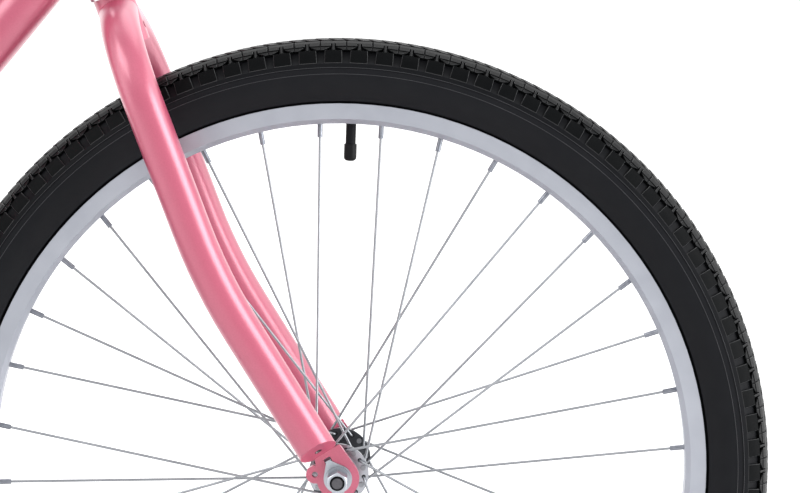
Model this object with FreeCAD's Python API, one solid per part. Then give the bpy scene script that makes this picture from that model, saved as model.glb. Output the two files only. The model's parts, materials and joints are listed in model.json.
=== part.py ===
import FreeCAD, Part
import math
import os

# Beach cruiser bicycle. Millimetres and degrees. Built upright with X forward, Y left, Z up and the
# ground at Z = 0, then leaned as a whole onto its kickstand.

Vector = FreeCAD.Vector

# Clearances
SEAT_GAP = 0.05
RUNNING_GAP = 0.05
BALL_GAP = 0.32

# Whole bicycle
WHEELBASE = 1130.0
LEAN_ANGLE = 4.0

# Wheels
TYRE_OUTER_RADIUS = 336.5
TYRE_SECTION_RADIUS = 27.4
TREAD_HEIGHT = 1.3
TREAD_HALF_ANGLE = 62.0
TYRE_WALL = 2.3
TYRE_HEIGHT = 56.2
BEAD_WIDTH = 3.8
RIM_FLANGE_HEIGHT = 6.7
RIM_HALF_WIDTH = 14.7
RIM_WALL = 2.65
RIM_SIDE_HEIGHT = 12.0
RIM_BEVEL_HEIGHT = 4.0
RIM_INNER_HALF_WIDTH = 10.5
RIM_FLOOR = 2.9
RIM_WELL_HALF_WIDTH = 7.5
TUBE_WALL = 1.2
VALVE_ANGLE = 88.0
VALVE_STEM_RADIUS = 3.95
VALVE_STEM_SHOWN = 21.9
VALVE_CAP_RADIUS = 4.95
VALVE_CAP_LENGTH = 13.2
SPOKE_PAIRS = 18
FIRST_SPOKE_ANGLE = 3.06
SPOKE_CROSS_ANGLE = 59.3
SPOKE_RADIUS = 1.0
SPOKE_HEAD_RADIUS = 2.0
SPOKE_HEAD_HEIGHT = 1.2
SPOKE_HOLE_GAP = 0.3
ELBOW_RADIUS = 2.6
NIPPLE_RADIUS = 2.0
NIPPLE_LENGTH = 13.5
NIPPLE_HEAD_RADIUS = 3.1
NIPPLE_HEAD_HEIGHT = 2.5
NIPPLE_SEAT_DEPTH = 0.5
RIM_HOLE_OFFSET = 3.0

# Front hub and its axle
FRONT_OVER_LOCKNUT = 100.0
FRONT_FLANGE_SPACING = 68.3
FRONT_FLANGE_RADIUS = 23.4
FRONT_SPOKE_CIRCLE = 19.6
FLANGE_THICKNESS = 3.0
FRONT_BARREL_RADIUS = 13.0
FRONT_HUB_NECK_RADIUS = 15.0
FRONT_HUB_END = 39.0
HUB_LIP = 1.5
FRONT_AXLE_RADIUS = 4.75
FRONT_AXLE_STANDOUT = 26.5
HUB_BALL_RADIUS = 2.38
HUB_BALL_COUNT = 10
FRONT_CONE_RADIUS = 6.6
LOCKNUT_RADIUS = 8.0
LOCKNUT_WIDTH = 9.0
TAB_WASHER_RADIUS = 11.0
TAB_WASHER_THICKNESS = 1.9
NUT_FLANGE_RADIUS = 9.8
NUT_FLANGE_THICKNESS = 2.0
NUT_ACROSS_FLATS = 15.0
FRONT_NUT_HEIGHT = 16.0
NUT_FACE_RADIUS = 7.1
NUT_CHAMFER_ANGLE = 30.0
NUT_MOUTH = 1.0

# Fork, measured along and ahead of the steering axis from the point nearest the front axle
HEAD_ANGLE = 69.7
FORK_RAKE = 36.4
LEG_RADIUS = 15.2
LEG_WALL = 1.8
LEG_HALF_SPACING = 65.7
LEG_BEND_HEIGHT = 221.1
LEG_BEND_RADIUS = 426.0
LEG_BEND_ANGLE = 11.31
LEG_END_HEIGHT = 26.7
LEG_END_TILT = 25.0
LEG_CAP_THICKNESS = 2.0
DRAIN_HOLE_RADIUS = 2.4
SHOULDER_HEIGHT = 394.0
SHOULDER_SLOPE = 22.0
SHOULDER_BEND_RADIUS = 70.0
CROWN_RADIUS = 15.6
CROWN_BOTTOM = 367.0
CROWN_TOP = 408.0
CROWN_HOLE_HEIGHT = 378.0
CROWN_HOLE_RADIUS = 3.0
STEERER_RADIUS = 12.7
STEERER_WALL = 1.6
DROPOUT_THICKNESS = 5.4
DROPOUT_RADIUS = 16.5
DROPOUT_SLOT_GAP = 0.2
DROPOUT_LEG_STEP = 0.8
DROPOUT_TOP_REAR = 3.4
DROPOUT_OVERRUN = 5.0
DROPOUT_EYELET_RADIUS = 2.3
DROPOUT_EAR_RADIUS = 6.9
DROPOUT_EAR_X = -17.8
DROPOUT_EAR_Z = 3.0
TAB_SLOT_X = -7.8
TAB_SLOT_Z = 14.4
TAB_SLOT_LENGTH = 6.0
TAB_SLOT_WIDTH = 3.8
TAB_WIDTH = 4.8
TAB_THICKNESS = 1.6
TAB_GAP = 0.1

# Headset
HEAD_TUBE_RADIUS = 19.5
HEAD_TUBE_WALL = 4.0
HEAD_TUBE_BOTTOM = 423.0
HEAD_TUBE_LENGTH = 135.0
CUP_HEIGHT = 10.0
CUP_SKIRT = 8.0
CUP_RADIUS = 22.0
CUP_BORE_RADIUS = 13.6
RACE_HEIGHT = 10.0
HEADSET_BALL_COUNT = 20
HEADSET_BALL_CIRCLE = 17.2
RACE_NECK_RADIUS = 14.7
LOCKNUT_HEIGHT = 8.0
LOCKNUT_ACROSS_FLATS = 32.0
STEERER_ABOVE_RACE = 10.0

# Stem and handlebar
QUILL_DEPTH = 75.0
STEM_RISE = 55.0
STEM_REACH = 62.0
STEM_ARM_RADIUS = 12.5
STEM_COLLAR_STEP = 1.0
STEM_BOLT_RADIUS = 4.0
STEM_BOLT_HEAD_RADIUS = 7.0
STEM_BOLT_HEAD_HEIGHT = 6.0
WEDGE_HEIGHT = 24.0
BAR_RADIUS = 11.1
BAR_WALL = 1.6
BAR_SLEEVE_RADIUS = 12.7
BAR_SLEEVE_HALF = 34.0
BAR_CLAMP_WIDTH = 40.0
BAR_CLAMP_WALL = 4.5
CLAMP_SLIT = 3.0
CLAMP_LUG_LENGTH = 13.0
CLAMP_BOLT_RADIUS = 3.0
BAR_STRAIGHT_HALF = 60.0
BAR_RISE_FORWARD = 25.0
BAR_RISE_OUT = 140.0
BAR_RISE = 95.0
BAR_ELBOW_FORWARD = -10.0
BAR_ELBOW_OUT = 270.0
BAR_ELBOW_RISE = 118.0
BAR_END_BACK = 245.0
BAR_END_OUT = 335.0
BAR_END_RISE = 86.0
BAR_FIRST_BEND_RADIUS = 45.0
BAR_SECOND_BEND_RADIUS = 60.0
BAR_THIRD_BEND_RADIUS = 70.0
GRIP_LENGTH = 126.0
GRIP_RADIUS = 15.5
GRIP_FLANGE_RADIUS = 19.0
GRIP_FLANGE_WIDTH = 5.0
GRIP_END_WALL = 4.0

# Frame
DOWN_TUBE_RADIUS = 20.0
DOWN_TUBE_WALL = 1.6
DOWN_TUBE_HEIGHT = 463.5
DOWN_TUBE_SLOPE = 50.25
DOWN_TUBE_STRAIGHT = 190.0
TOP_TUBE_RADIUS = 14.3
TOP_TUBE_WALL = 1.5
TOP_TUBE_HEIGHT = 532.0
TOP_TUBE_SLOPE = 48.0
TOP_TUBE_STRAIGHT = 90.0
TOP_TUBE_END = 190.0
SEAT_TUBE_ANGLE = 68.0
SEAT_TUBE_LENGTH = 430.0
SEAT_TUBE_RADIUS = 15.2
BRACKET_BACK = 95.0
BRACKET_HEIGHT = 290.0
BRACKET_RADIUS = 28.5
BRACKET_BORE_RADIUS = 25.6
BRACKET_WIDTH = 68.0
STAY_RADIUS = 9.5
STAY_WALL = 1.5
STAY_ROOT_Y = 21.0
STAY_NARROW_Y = 24.0
STAY_WIDE_Y = 46.0
STAY_NARROW_BACK = 92.0
STAY_WIDE_BACK = 168.0
STAY_BEND_RADIUS = 90.0
STAY_AXLE_DISTANCE = 24.0
STAY_END_OUT = 7.5
SEAT_STAY_HEIGHT = 392.0
SEAT_STAY_ROOT_Y = 15.0
SEAT_STAY_WIDE_Y = 46.0
SEAT_STAY_WIDE_BACK = 62.0
SEAT_STAY_BEND_RADIUS = 45.0
REAR_OVER_LOCKNUT = 110.0
REAR_DROPOUT_THICKNESS = 5.0
REAR_DROPOUT_RADIUS = 17.0
REAR_DROPOUT_BAR_RADIUS = 8.0
REAR_DROPOUT_REACH = 44.0
REAR_SLOT_LENGTH = 24.0
RACK_EYELET_RADIUS = 2.6
RACK_EYELET_X = 8.0
RACK_EYELET_Z = 26.0
RACK_EAR_RADIUS = 7.5

# Seat
SEAT_POST_RADIUS = 12.7
SEAT_POST_INSERT = 125.0
SEAT_POST_RISE = 128.0
SEAT_POST_NECK_RADIUS = 11.0
SEAT_POST_NECK_LENGTH = 40.0
SEAT_POST_WALL = 2.0
SEAT_COLLAR_WALL = 4.0
SEAT_COLLAR_HEIGHT = 18.0
SEAT_COLLAR_LUG = 14.0
SEAT_SLIT = 3.0
SEAT_BOLT_RADIUS = 3.0
SADDLE_LENGTH = 270.0
SADDLE_HALF_WIDTH = 122.0
SADDLE_NOSE_AHEAD = 142.0
SADDLE_RISE = 58.0
SADDLE_PAD_HEIGHT = 50.0
SADDLE_PAN_THICKNESS = 3.0
NOSE_PIVOT_BACK = 20.0
NOSE_PIVOT_DROP = 10.0
NOSE_TUBE_RADIUS = 4.5
NOSE_TUBE_HALF = 14.0
NOSE_PIN_RADIUS = 2.0
NOSE_EAR_RADIUS = 7.0
NOSE_EAR_GAP = 0.5
NOSE_RAIL_Y = 9.0
RAIL_RADIUS = 3.5
RAIL_AHEAD = 55.0
RAIL_FRONT_BEND_RADIUS = 26.0
RAIL_REAR_BEND_RADIUS = 18.0
RAIL_HALF_SPACING = 22.0
SADDLE_CLAMP_LENGTH = 34.0
SADDLE_CLAMP_WALL = 5.0
SPRING_WIRE_RADIUS = 2.25
SPRING_COIL_RADIUS = 16.5
SPRING_TURNS = 4
SPRING_HALF_SPACING = 62.0
SPRING_BEHIND_POST = 88.0
SPRING_PLATE_RADIUS = 22.0
SPRING_PLATE_THICKNESS = 3.0

# Crank, chain and pedals
CHAIN_PITCH = 12.7
CHAIN_LINE = 46.0
RING_TEETH = 44
COG_TEETH = 18
RING_THICKNESS = 3.0
COG_THICKNESS = 2.6
TOOTH_HEIGHT = 3.4
ROLLER_RADIUS = 3.9
ROLLER_GAP = 0.35
ROLLER_WIDTH = 3.3
LINK_PLATE_THICKNESS = 1.0
LINK_PLATE_RADIUS = 4.1
LINK_PLATE_GAP = 0.15
CHAIN_PIN_RADIUS = 1.8
RING_WINDOWS = 6
RING_WINDOW_RADIUS = 17.0
RING_WINDOW_CIRCLE = 54.0
CRANK_LENGTH = 168.0
CRANK_SPINDLE_RADIUS = 11.0
CRANK_ARM_RADIUS = 9.0
CRANK_ARM_OFFSET = 72.0
CRANK_BEND_RADIUS = 22.0
CRANK_EYE_RADIUS = 14.0
CRANK_EYE_WIDTH = 15.0
CRANK_ANGLE = 0.0
BB_CUP_FLANGE = 3.0
BB_CUP_SKIRT = 9.0
BB_BALL_RADIUS = 3.17
BB_BALL_COUNT = 11
PEDAL_SPINDLE_RADIUS = 5.0
PEDAL_THREAD_RADIUS = 6.3
PEDAL_LENGTH = 92.0
PEDAL_WIDTH = 66.0
PEDAL_HEIGHT = 25.0
PEDAL_GAP = 6.0
PEDAL_BARREL_RADIUS = 10.0
PEDAL_TREAD_WIDTH = 20.0
PEDAL_PLATE_THICKNESS = 5.0

# Rear hub
REAR_FLANGE_SPACING = 56.0
REAR_FLANGE_RADIUS = 33.0
REAR_SPOKE_CIRCLE = 29.0
REAR_BARREL_RADIUS = 21.0
REAR_HUB_BORE_RADIUS = 17.5
REAR_HUB_END = 36.0
REAR_AXLE_RADIUS = 5.0
REAR_AXLE_STANDOUT = 19.0
REAR_NUT_HEIGHT = 9.5
DRIVER_RADIUS = 16.5
REAR_CONE_RADIUS = 8.5
REAR_CONE_START = 8.0
BRAKE_SHOE_LENGTH = 20.0
BRAKE_SHOE_GAP = 1.0
BRAKE_SHOE_SPLIT = 2.0
BRAKE_FLANGE_WIDTH = 8.0
BRAKE_ARM_THICKNESS = 3.0
BRAKE_ARM_LENGTH = 140.0
BRAKE_ARM_HALF_WIDTH = 9.0
STRAP_WALL = 1.6
STRAP_WIDTH = 14.0
STRAP_BOLT_RADIUS = 2.5

# Chain guard
GUARD_THICKNESS = 1.6
GUARD_CHAIN_GAP = 4.0
GUARD_TOP_GAP = 12.0
GUARD_DEPTH = 42.0
GUARD_LIP = 14.0
GUARD_REAR_BACK = 392.0

# Kickstand
KICKSTAND_BACK = 262.0
KICKSTAND_RADIUS = 7.0
KICKSTAND_PIVOT_OUT = 31.0
KICKSTAND_PIVOT_DROP = 9.0
KICKSTAND_PIVOT_RADIUS = 5.0
KICKSTAND_EYE_RADIUS = 11.0
KICKSTAND_EYE_WIDTH = 14.0
KICKSTAND_FOOT_OUT = 150.0
KICKSTAND_FOOT_FORWARD = 25.0
KICKSTAND_FOOT_RADIUS = 11.0
KICKSTAND_FOOT_LENGTH = 38.0
KICKSTAND_STOWED_DROP = 10.0

# Places that follow from the sizes
BEAD_SEAT_RADIUS = TYRE_OUTER_RADIUS - TYRE_HEIGHT
RIM_EDGE_RADIUS = BEAD_SEAT_RADIUS + RIM_FLANGE_HEIGHT
FRONT_AXLE = Vector(WHEELBASE / 2, 0, TYRE_OUTER_RADIUS)
REAR_AXLE = Vector(-WHEELBASE / 2, 0, TYRE_OUTER_RADIUS)
BRACKET = Vector(-BRACKET_BACK, 0, BRACKET_HEIGHT)
TILT = 90.0 - HEAD_ANGLE
STEER_UP = Vector(-math.sin(math.radians(TILT)), 0, math.cos(math.radians(TILT)))
STEER_AHEAD = Vector(math.cos(math.radians(TILT)), 0, math.sin(math.radians(TILT)))
STEER_FOOT = FRONT_AXLE - STEER_AHEAD * FORK_RAKE
STEER = FreeCAD.Placement(STEER_FOOT, FreeCAD.Rotation(Vector(0, 1, 0), -TILT))
SEAT_LEAN = 90.0 - SEAT_TUBE_ANGLE
SEAT_UP = Vector(-math.sin(math.radians(SEAT_LEAN)), 0, math.cos(math.radians(SEAT_LEAN)))
SEAT = FreeCAD.Placement(BRACKET, FreeCAD.Rotation(Vector(0, 1, 0), -SEAT_LEAN))
FRONT_WHEEL = FreeCAD.Placement(FRONT_AXLE, FreeCAD.Rotation())
REAR_WHEEL = FreeCAD.Placement(REAR_AXLE, FreeCAD.Rotation())
CRANK = FreeCAD.Placement(BRACKET, FreeCAD.Rotation())
Y_AXIS = Vector(0, 1, 0)
Z_AXIS = Vector(0, 0, 1)
ORIGIN = Vector(0, 0, 0)
RING_PITCH_RADIUS = CHAIN_PITCH / 2 / math.sin(math.pi / RING_TEETH)
COG_PITCH_RADIUS = CHAIN_PITCH / 2 / math.sin(math.pi / COG_TEETH)
HEAD_TUBE_TOP = HEAD_TUBE_BOTTOM + HEAD_TUBE_LENGTH
RACE_TOP = HEAD_TUBE_TOP + CUP_HEIGHT + RACE_HEIGHT
STEERER_TOP = RACE_TOP + STEERER_ABOVE_RACE
BAR_CENTRE = STEER_FOOT + STEER_AHEAD * STEM_REACH + STEER_UP * (STEERER_TOP + STEM_RISE)
POST_TOP = SEAT_TUBE_LENGTH + SEAT_POST_RISE
POST_HEAD = BRACKET + SEAT_UP * POST_TOP
CHAIN_HALF_WIDTH = ROLLER_WIDTH / 2 + 2 * LINK_PLATE_THICKNESS + 3 * LINK_PLATE_GAP + 0.6


# Small builders

def placed(shape, placement):
    moved = shape.copy()
    moved.transformShape(placement.toMatrix(), True)
    return moved


def group(solids):
    return Part.Compound(list(solids))


def fused(solids):
    whole = solids[0].multiFuse(solids[1:])
    return whole.removeSplitter().Solids[0]


def rod(start, end, radius):
    along = end - start
    return Part.makeCylinder(radius, along.Length, start, along)


def pipe_piece(start, end, outer, inner):
    return rod(start, end, outer).cut(rod(start, end, inner))


def ring_y(low, high, outer, inner):
    return pipe_piece(Vector(0, low, 0), Vector(0, high, 0), outer, inner)


def ring_z(low, high, outer, inner):
    return pipe_piece(Vector(0, 0, low), Vector(0, 0, high), outer, inner)


def turned(points, axis):
    """Solid of revolution of a closed outline given as (radius, height) about the Y or Z axis."""
    if axis == Y_AXIS:
        corners = [Vector(r, h, 0) for r, h in points]
    else:
        corners = [Vector(r, 0, h) for r, h in points]
    outline = Part.makePolygon(corners + corners[:1])
    return Part.Face(outline).revolve(ORIGIN, axis, 360)


def slab(outline, normal):
    return Part.Face(outline).extrude(normal)


def polygon_slab(points, normal):
    return slab(Part.makePolygon(points + points[:1]), normal)


def hexagon(base, axis, across_flats):
    """Six-sided prism standing on base, as tall as axis is long."""
    side = axis.cross(Vector(1, 0, 0))
    if side.Length < 1e-6:
        side = axis.cross(Z_AXIS)
    side.normalize()
    other = axis.cross(side)
    other.normalize()
    corner = across_flats / math.sqrt(3)
    points = []
    for step in range(6):
        angle = math.radians(60 * step)
        points.append(base + side * (corner * math.cos(angle)) + other * (corner * math.sin(angle)))
    return polygon_slab(points, axis)


def arc_leaving(start, tangent, end):
    """Circular arc that leaves start along tangent and finishes at end."""
    chord = end - start
    heading = Vector(tangent).normalize()
    bisector = heading + Vector(chord).normalize()
    bisector.normalize()
    half = heading.getAngle(chord) / 2
    middle = start + bisector * (chord.Length / 2 / math.cos(half))
    return Part.Arc(start, middle, end).toShape()


def bent_path(points, radii):
    """Straight runs through the points, with an arc of the given radius at each inner corner."""
    edges = []
    start = points[0]
    for corner, following, radius in zip(points[1:-1], points[2:], radii):
        arriving = (corner - start).normalize()
        leaving = (following - corner).normalize()
        setback = radius * math.tan(arriving.getAngle(leaving) / 2)
        first = corner - arriving * setback
        last = corner + leaving * setback
        edges.append(Part.makeLine(start, first))
        edges.append(arc_leaving(first, arriving, last))
        start = last
    edges.append(Part.makeLine(start, points[-1]))
    return edges


def swept(edges, radius):
    """Round bar along a smooth run of edges."""
    first = edges[0]
    start = first.valueAt(first.FirstParameter)
    heading = first.tangentAt(first.FirstParameter)
    section = Part.Wire(Part.makeCircle(radius, start, heading))
    shell = Part.BRepOffsetAPI.MakePipeShell(Part.Wire(edges))
    shell.add(section)
    shell.setTransitionMode(1)
    shell.build()
    shell.makeSolid()
    return shell.shape()


def swept_tube(edges, radius, wall):
    return swept(edges, radius).cut(swept(edges, radius - wall))


def mirrored_y(shape):
    return shape.mirror(ORIGIN, Y_AXIS)


def both_sides(shape):
    return [shape, mirrored_y(shape)]


def balls_about(axis, count, circle, height, radius):
    solids = []
    for step in range(count):
        angle = 2 * math.pi * step / count
        across = circle * math.cos(angle)
        along = circle * math.sin(angle)
        centre = Vector(across, height, along) if axis == Y_AXIS else Vector(across, along, height)
        solids.append(Part.makeSphere(radius, centre))
    return solids


def about_y(radius, degrees, y):
    """Point at a distance from the Y axis, with the angle counted from X towards Z."""
    angle = math.radians(degrees)
    return Vector(radius * math.cos(angle), y, radius * math.sin(angle))


# Wheels

def make_tyre():
    centre = TYRE_OUTER_RADIUS - TYRE_SECTION_RADIUS
    wall_radius = TYRE_SECTION_RADIUS - TREAD_HEIGHT
    cavity = wall_radius - TYRE_WALL
    heel = RIM_HALF_WIDTH - RIM_WALL - 0.1
    toe = heel - BEAD_WIDTH
    bead = BEAD_SEAT_RADIUS + SEAT_GAP
    edge = centre - math.sqrt(wall_radius ** 2 - RIM_HALF_WIDTH ** 2)
    inner_y = heel - 0.7
    inner_edge = centre - math.sqrt(cavity ** 2 - inner_y ** 2)
    shoulder = math.radians(TREAD_HALF_ANGLE)

    def on_circle(radius, angle):
        return Vector(centre + radius * math.cos(angle), radius * math.sin(angle), 0)

    def half(side):
        low_wall = on_circle(wall_radius, shoulder * side)
        high_wall = on_circle(TYRE_SECTION_RADIUS, shoulder * side)
        corners = [Vector(inner_edge, inner_y * side, 0), Vector(bead, toe * side, 0),
                   Vector(bead, heel * side, 0), Vector(edge, heel * side, 0),
                   Vector(edge, RIM_HALF_WIDTH * side, 0)]
        edges = [Part.makeLine(a, b) for a, b in zip(corners, corners[1:])]
        widest = Vector(centre, wall_radius * side, 0)
        edges.append(Part.Arc(corners[-1], widest, low_wall).toShape())
        edges.append(Part.makeLine(low_wall, high_wall))
        return edges, corners[0], high_wall

    left, left_inner, left_top = half(1)
    right, right_inner, right_top = half(-1)
    crown = Part.Arc(left_top, Vector(TYRE_OUTER_RADIUS, 0, 0), right_top).toShape()
    inside = Part.Arc(left_inner, Vector(centre + cavity, 0, 0), right_inner).toShape()
    outline = Part.Wire(Part.__sortEdges__(left + right + [crown, inside]))
    return Part.Face(outline).revolve(ORIGIN, Y_AXIS, 360)


def make_inner_tube():
    centre = TYRE_OUTER_RADIUS - TYRE_SECTION_RADIUS
    outer = TYRE_SECTION_RADIUS - TREAD_HEIGHT - TYRE_WALL - 0.15
    body = Part.makeTorus(centre, outer, ORIGIN, Y_AXIS)
    stem_end = rim_inner_radius() - VALVE_STEM_SHOWN
    stem = rod(about_y(centre - outer + 2.0, VALVE_ANGLE, 0), about_y(stem_end, VALVE_ANGLE, 0),
               VALVE_STEM_RADIUS)
    hollow = Part.makeTorus(centre, outer - TUBE_WALL, ORIGIN, Y_AXIS)
    passage = rod(about_y(centre, VALVE_ANGLE, 0), about_y(stem_end, VALVE_ANGLE, 0), VALVE_STEM_RADIUS / 2)
    return body.fuse(stem).cut(hollow).cut(passage).Solids[0]


def make_valve_cap():
    end = rim_inner_radius() - VALVE_STEM_SHOWN
    overlap = 5.0
    top = about_y(end + overlap, VALVE_ANGLE, 0)
    tip = about_y(end + overlap - VALVE_CAP_LENGTH, VALVE_ANGLE, 0)
    body = rod(top, tip, VALVE_CAP_RADIUS)
    far_edges = [edge for edge in body.Edges if (edge.CenterOfMass - tip).Length < 0.1]
    body = body.makeFillet(VALVE_CAP_RADIUS * 0.6, far_edges)
    socket = rod(top, about_y(end - SEAT_GAP, VALVE_ANGLE, 0), VALVE_STEM_RADIUS + SEAT_GAP)
    return body.cut(socket).Solids[0]


def rim_inner_radius():
    return RIM_EDGE_RADIUS - RIM_SIDE_HEIGHT - RIM_BEVEL_HEIGHT


def rim_floor_radius():
    return rim_inner_radius() + RIM_FLOOR


class Spoke:
    """One spoke of a laced wheel: its nipple's seat, its hole in the flange and the way its elbow faces."""

    def __init__(self, index, circle, spacing):
        angle = FIRST_SPOKE_ANGLE + index * 180.0 / SPOKE_PAIRS
        side = 1 if index % 2 == 0 else -1
        turn = 1 if index % 4 in (1, 2) else -1
        out = side * turn
        flange = side * spacing / 2
        hole_angle = angle + turn * SPOKE_CROSS_ANGLE
        half = FLANGE_THICKNESS / 2
        self.hole = about_y(circle, hole_angle, flange)
        self.out = Vector(0, out, 0)
        self.head = self.hole - self.out * (half + SEAT_GAP)
        self.corner = self.hole + self.out * (half + ELBOW_RADIUS)
        floor = about_y(rim_floor_radius(), angle, side * RIM_HOLE_OFFSET)
        self.towards_hub = (self.corner - floor).normalize()
        self.seat = floor + self.towards_hub * NIPPLE_SEAT_DEPTH

    def wire(self):
        end = self.seat - self.towards_hub
        bar = swept(bent_path([self.head, self.corner, end], [ELBOW_RADIUS * 0.8]), SPOKE_RADIUS)
        head = rod(self.head, self.head - self.out * SPOKE_HEAD_HEIGHT, SPOKE_HEAD_RADIUS)
        return bar.fuse(head).removeSplitter().Solids[0]

    def nipple(self):
        end = self.seat + self.towards_hub * NIPPLE_LENGTH
        top = self.seat - self.towards_hub * NIPPLE_HEAD_HEIGHT
        shank = rod(self.seat, end, NIPPLE_RADIUS)
        head = rod(self.seat, top, NIPPLE_HEAD_RADIUS)
        return shank.fuse(head).cut(rod(top, end, SPOKE_RADIUS + SEAT_GAP)).Solids[0]

    def rim_hole(self):
        low = self.seat + self.towards_hub * (RIM_FLOOR * 2)
        high = self.seat - self.towards_hub * (NIPPLE_HEAD_HEIGHT + 4.0)
        through = rod(low, self.seat, NIPPLE_RADIUS + SEAT_GAP)
        recess = rod(self.seat + self.towards_hub * SEAT_GAP, high, NIPPLE_HEAD_RADIUS + SEAT_GAP)
        return through.fuse(recess)

    def flange_hole(self):
        reach = FLANGE_THICKNESS
        return rod(self.hole - self.out * reach, self.hole + self.out * reach, SPOKE_RADIUS + SPOKE_HOLE_GAP)


def around_wheel(make):
    """Repeats the first four spokes of the lacing pattern around the wheel."""
    solids = []
    for index in range(4):
        first = make(index)
        for step in range(SPOKE_PAIRS // 2):
            copy = first.copy()
            copy.rotate(ORIGIN, Y_AXIS, -step * 720.0 / SPOKE_PAIRS)
            solids.append(copy)
    return solids


def make_spokes(circle, spacing):
    return group(around_wheel(lambda index: Spoke(index, circle, spacing).wire()))


def make_nipples(circle, spacing):
    return group(around_wheel(lambda index: Spoke(index, circle, spacing).nipple()))


def make_rim(circle, spacing):
    well_top = BEAD_SEAT_RADIUS
    inner_face = RIM_HALF_WIDTH - RIM_WALL
    shelf = inner_face - BEAD_WIDTH
    side_low = RIM_EDGE_RADIUS - RIM_SIDE_HEIGHT
    floor = rim_floor_radius()
    half = [(RIM_EDGE_RADIUS, RIM_HALF_WIDTH), (side_low, RIM_HALF_WIDTH),
            (rim_inner_radius(), RIM_INNER_HALF_WIDTH)]
    other = [(r, -y) for r, y in reversed(half)]
    well = [(RIM_EDGE_RADIUS, -inner_face), (well_top, -inner_face), (well_top, -shelf),
            (floor, -RIM_WELL_HALF_WIDTH)]
    back = [(r, -y) for r, y in reversed(well)]
    body = turned(half + other + well + back, Y_AXIS)
    holes = around_wheel(lambda index: Spoke(index, circle, spacing).rim_hole())
    holes.append(rod(about_y(rim_inner_radius() - 5.0, VALVE_ANGLE, 0),
                     about_y(BEAD_SEAT_RADIUS, VALVE_ANGLE, 0),
                     VALVE_STEM_RADIUS + SEAT_GAP))
    return body.cut(holes).Solids[0]


def pierced_hub(outline, circle, spacing):
    body = turned(outline, Y_AXIS)
    return body.cut(around_wheel(lambda index: Spoke(index, circle, spacing).flange_hole())).Solids[0]


def mirrored_outline(half):
    """Closed (radius, y) outline from its left half, which runs from the outside to the bore."""
    return half + [(r, -y) for r, y in reversed(half)]


def make_front_hub_shell():
    middle = FRONT_FLANGE_SPACING / 2
    half_flange = FLANGE_THICKNESS / 2
    cup = front_ball_circle() + HUB_BALL_RADIUS + SEAT_GAP
    cup_floor = middle - HUB_BALL_RADIUS - SEAT_GAP
    lip = FRONT_HUB_END - HUB_LIP
    bore = FRONT_CONE_RADIUS + 2.0
    half = [(FRONT_BARREL_RADIUS, middle - half_flange), (FRONT_FLANGE_RADIUS, middle - half_flange),
            (FRONT_FLANGE_RADIUS, middle + half_flange), (FRONT_HUB_NECK_RADIUS, middle + half_flange),
            (FRONT_HUB_NECK_RADIUS, FRONT_HUB_END), (bore, FRONT_HUB_END), (bore, lip), (cup, lip),
            (cup, cup_floor), (bore, cup_floor)]
    return pierced_hub(mirrored_outline(half), FRONT_SPOKE_CIRCLE, FRONT_FLANGE_SPACING)


def front_ball_circle():
    return FRONT_CONE_RADIUS + BALL_GAP + HUB_BALL_RADIUS


def make_front_hub_bearings():
    height = FRONT_FLANGE_SPACING / 2
    balls = balls_about(Y_AXIS, HUB_BALL_COUNT, front_ball_circle(), height, HUB_BALL_RADIUS)
    return group([solid for ball in balls for solid in both_sides(ball)])


def make_front_axle():
    end = FRONT_OVER_LOCKNUT / 2 + FRONT_AXLE_STANDOUT
    return rod(Vector(0, -end, 0), Vector(0, end, 0), FRONT_AXLE_RADIUS)


def make_front_cones():
    face = FRONT_OVER_LOCKNUT / 2 - SEAT_GAP
    bore = FRONT_AXLE_RADIUS + SEAT_GAP
    start = FRONT_FLANGE_SPACING / 2 - 2 * HUB_BALL_RADIUS
    step = face - LOCKNUT_WIDTH
    outline = [(bore, start), (FRONT_CONE_RADIUS, start), (FRONT_CONE_RADIUS, step), (LOCKNUT_RADIUS, step),
               (LOCKNUT_RADIUS, face), (bore, face)]
    return group(both_sides(turned(outline, Y_AXIS)))


def nut_with_flange(start, axle_radius, hex_height, direction):
    """Hexagon nut with a round flange and a chamfered face, on the Y axis from start outwards."""
    base = Vector(0, start, 0)
    step = Vector(0, direction, 0)
    flange = rod(base, base + step * NUT_FLANGE_THICKNESS, NUT_FLANGE_RADIUS)
    foot = base + step * NUT_FLANGE_THICKNESS
    wide = NUT_FACE_RADIUS + hex_height / math.tan(math.radians(NUT_CHAMFER_ANGLE))
    chamfer = Part.makeCone(wide, NUT_FACE_RADIUS, hex_height, foot, step)
    body = hexagon(foot, step * hex_height, NUT_ACROSS_FLATS).common(chamfer)
    height = NUT_FLANGE_THICKNESS + hex_height
    bore = rod(base - step, base + step * (height + 1), axle_radius + SEAT_GAP)
    mouth = Part.makeCone(axle_radius, axle_radius + NUT_MOUTH, NUT_MOUTH,
                          base + step * (height - NUT_MOUTH), step)
    return flange.fuse(body).cut([bore, mouth]).Solids[0]


def front_washer_face():
    return FRONT_OVER_LOCKNUT / 2 + DROPOUT_THICKNESS + SEAT_GAP


def make_front_axle_nuts():
    start = front_washer_face() + TAB_WASHER_THICKNESS + SEAT_GAP
    nuts = [nut_with_flange(side * start, FRONT_AXLE_RADIUS, FRONT_NUT_HEIGHT, side) for side in (1, -1)]
    return group(nuts)


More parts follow.
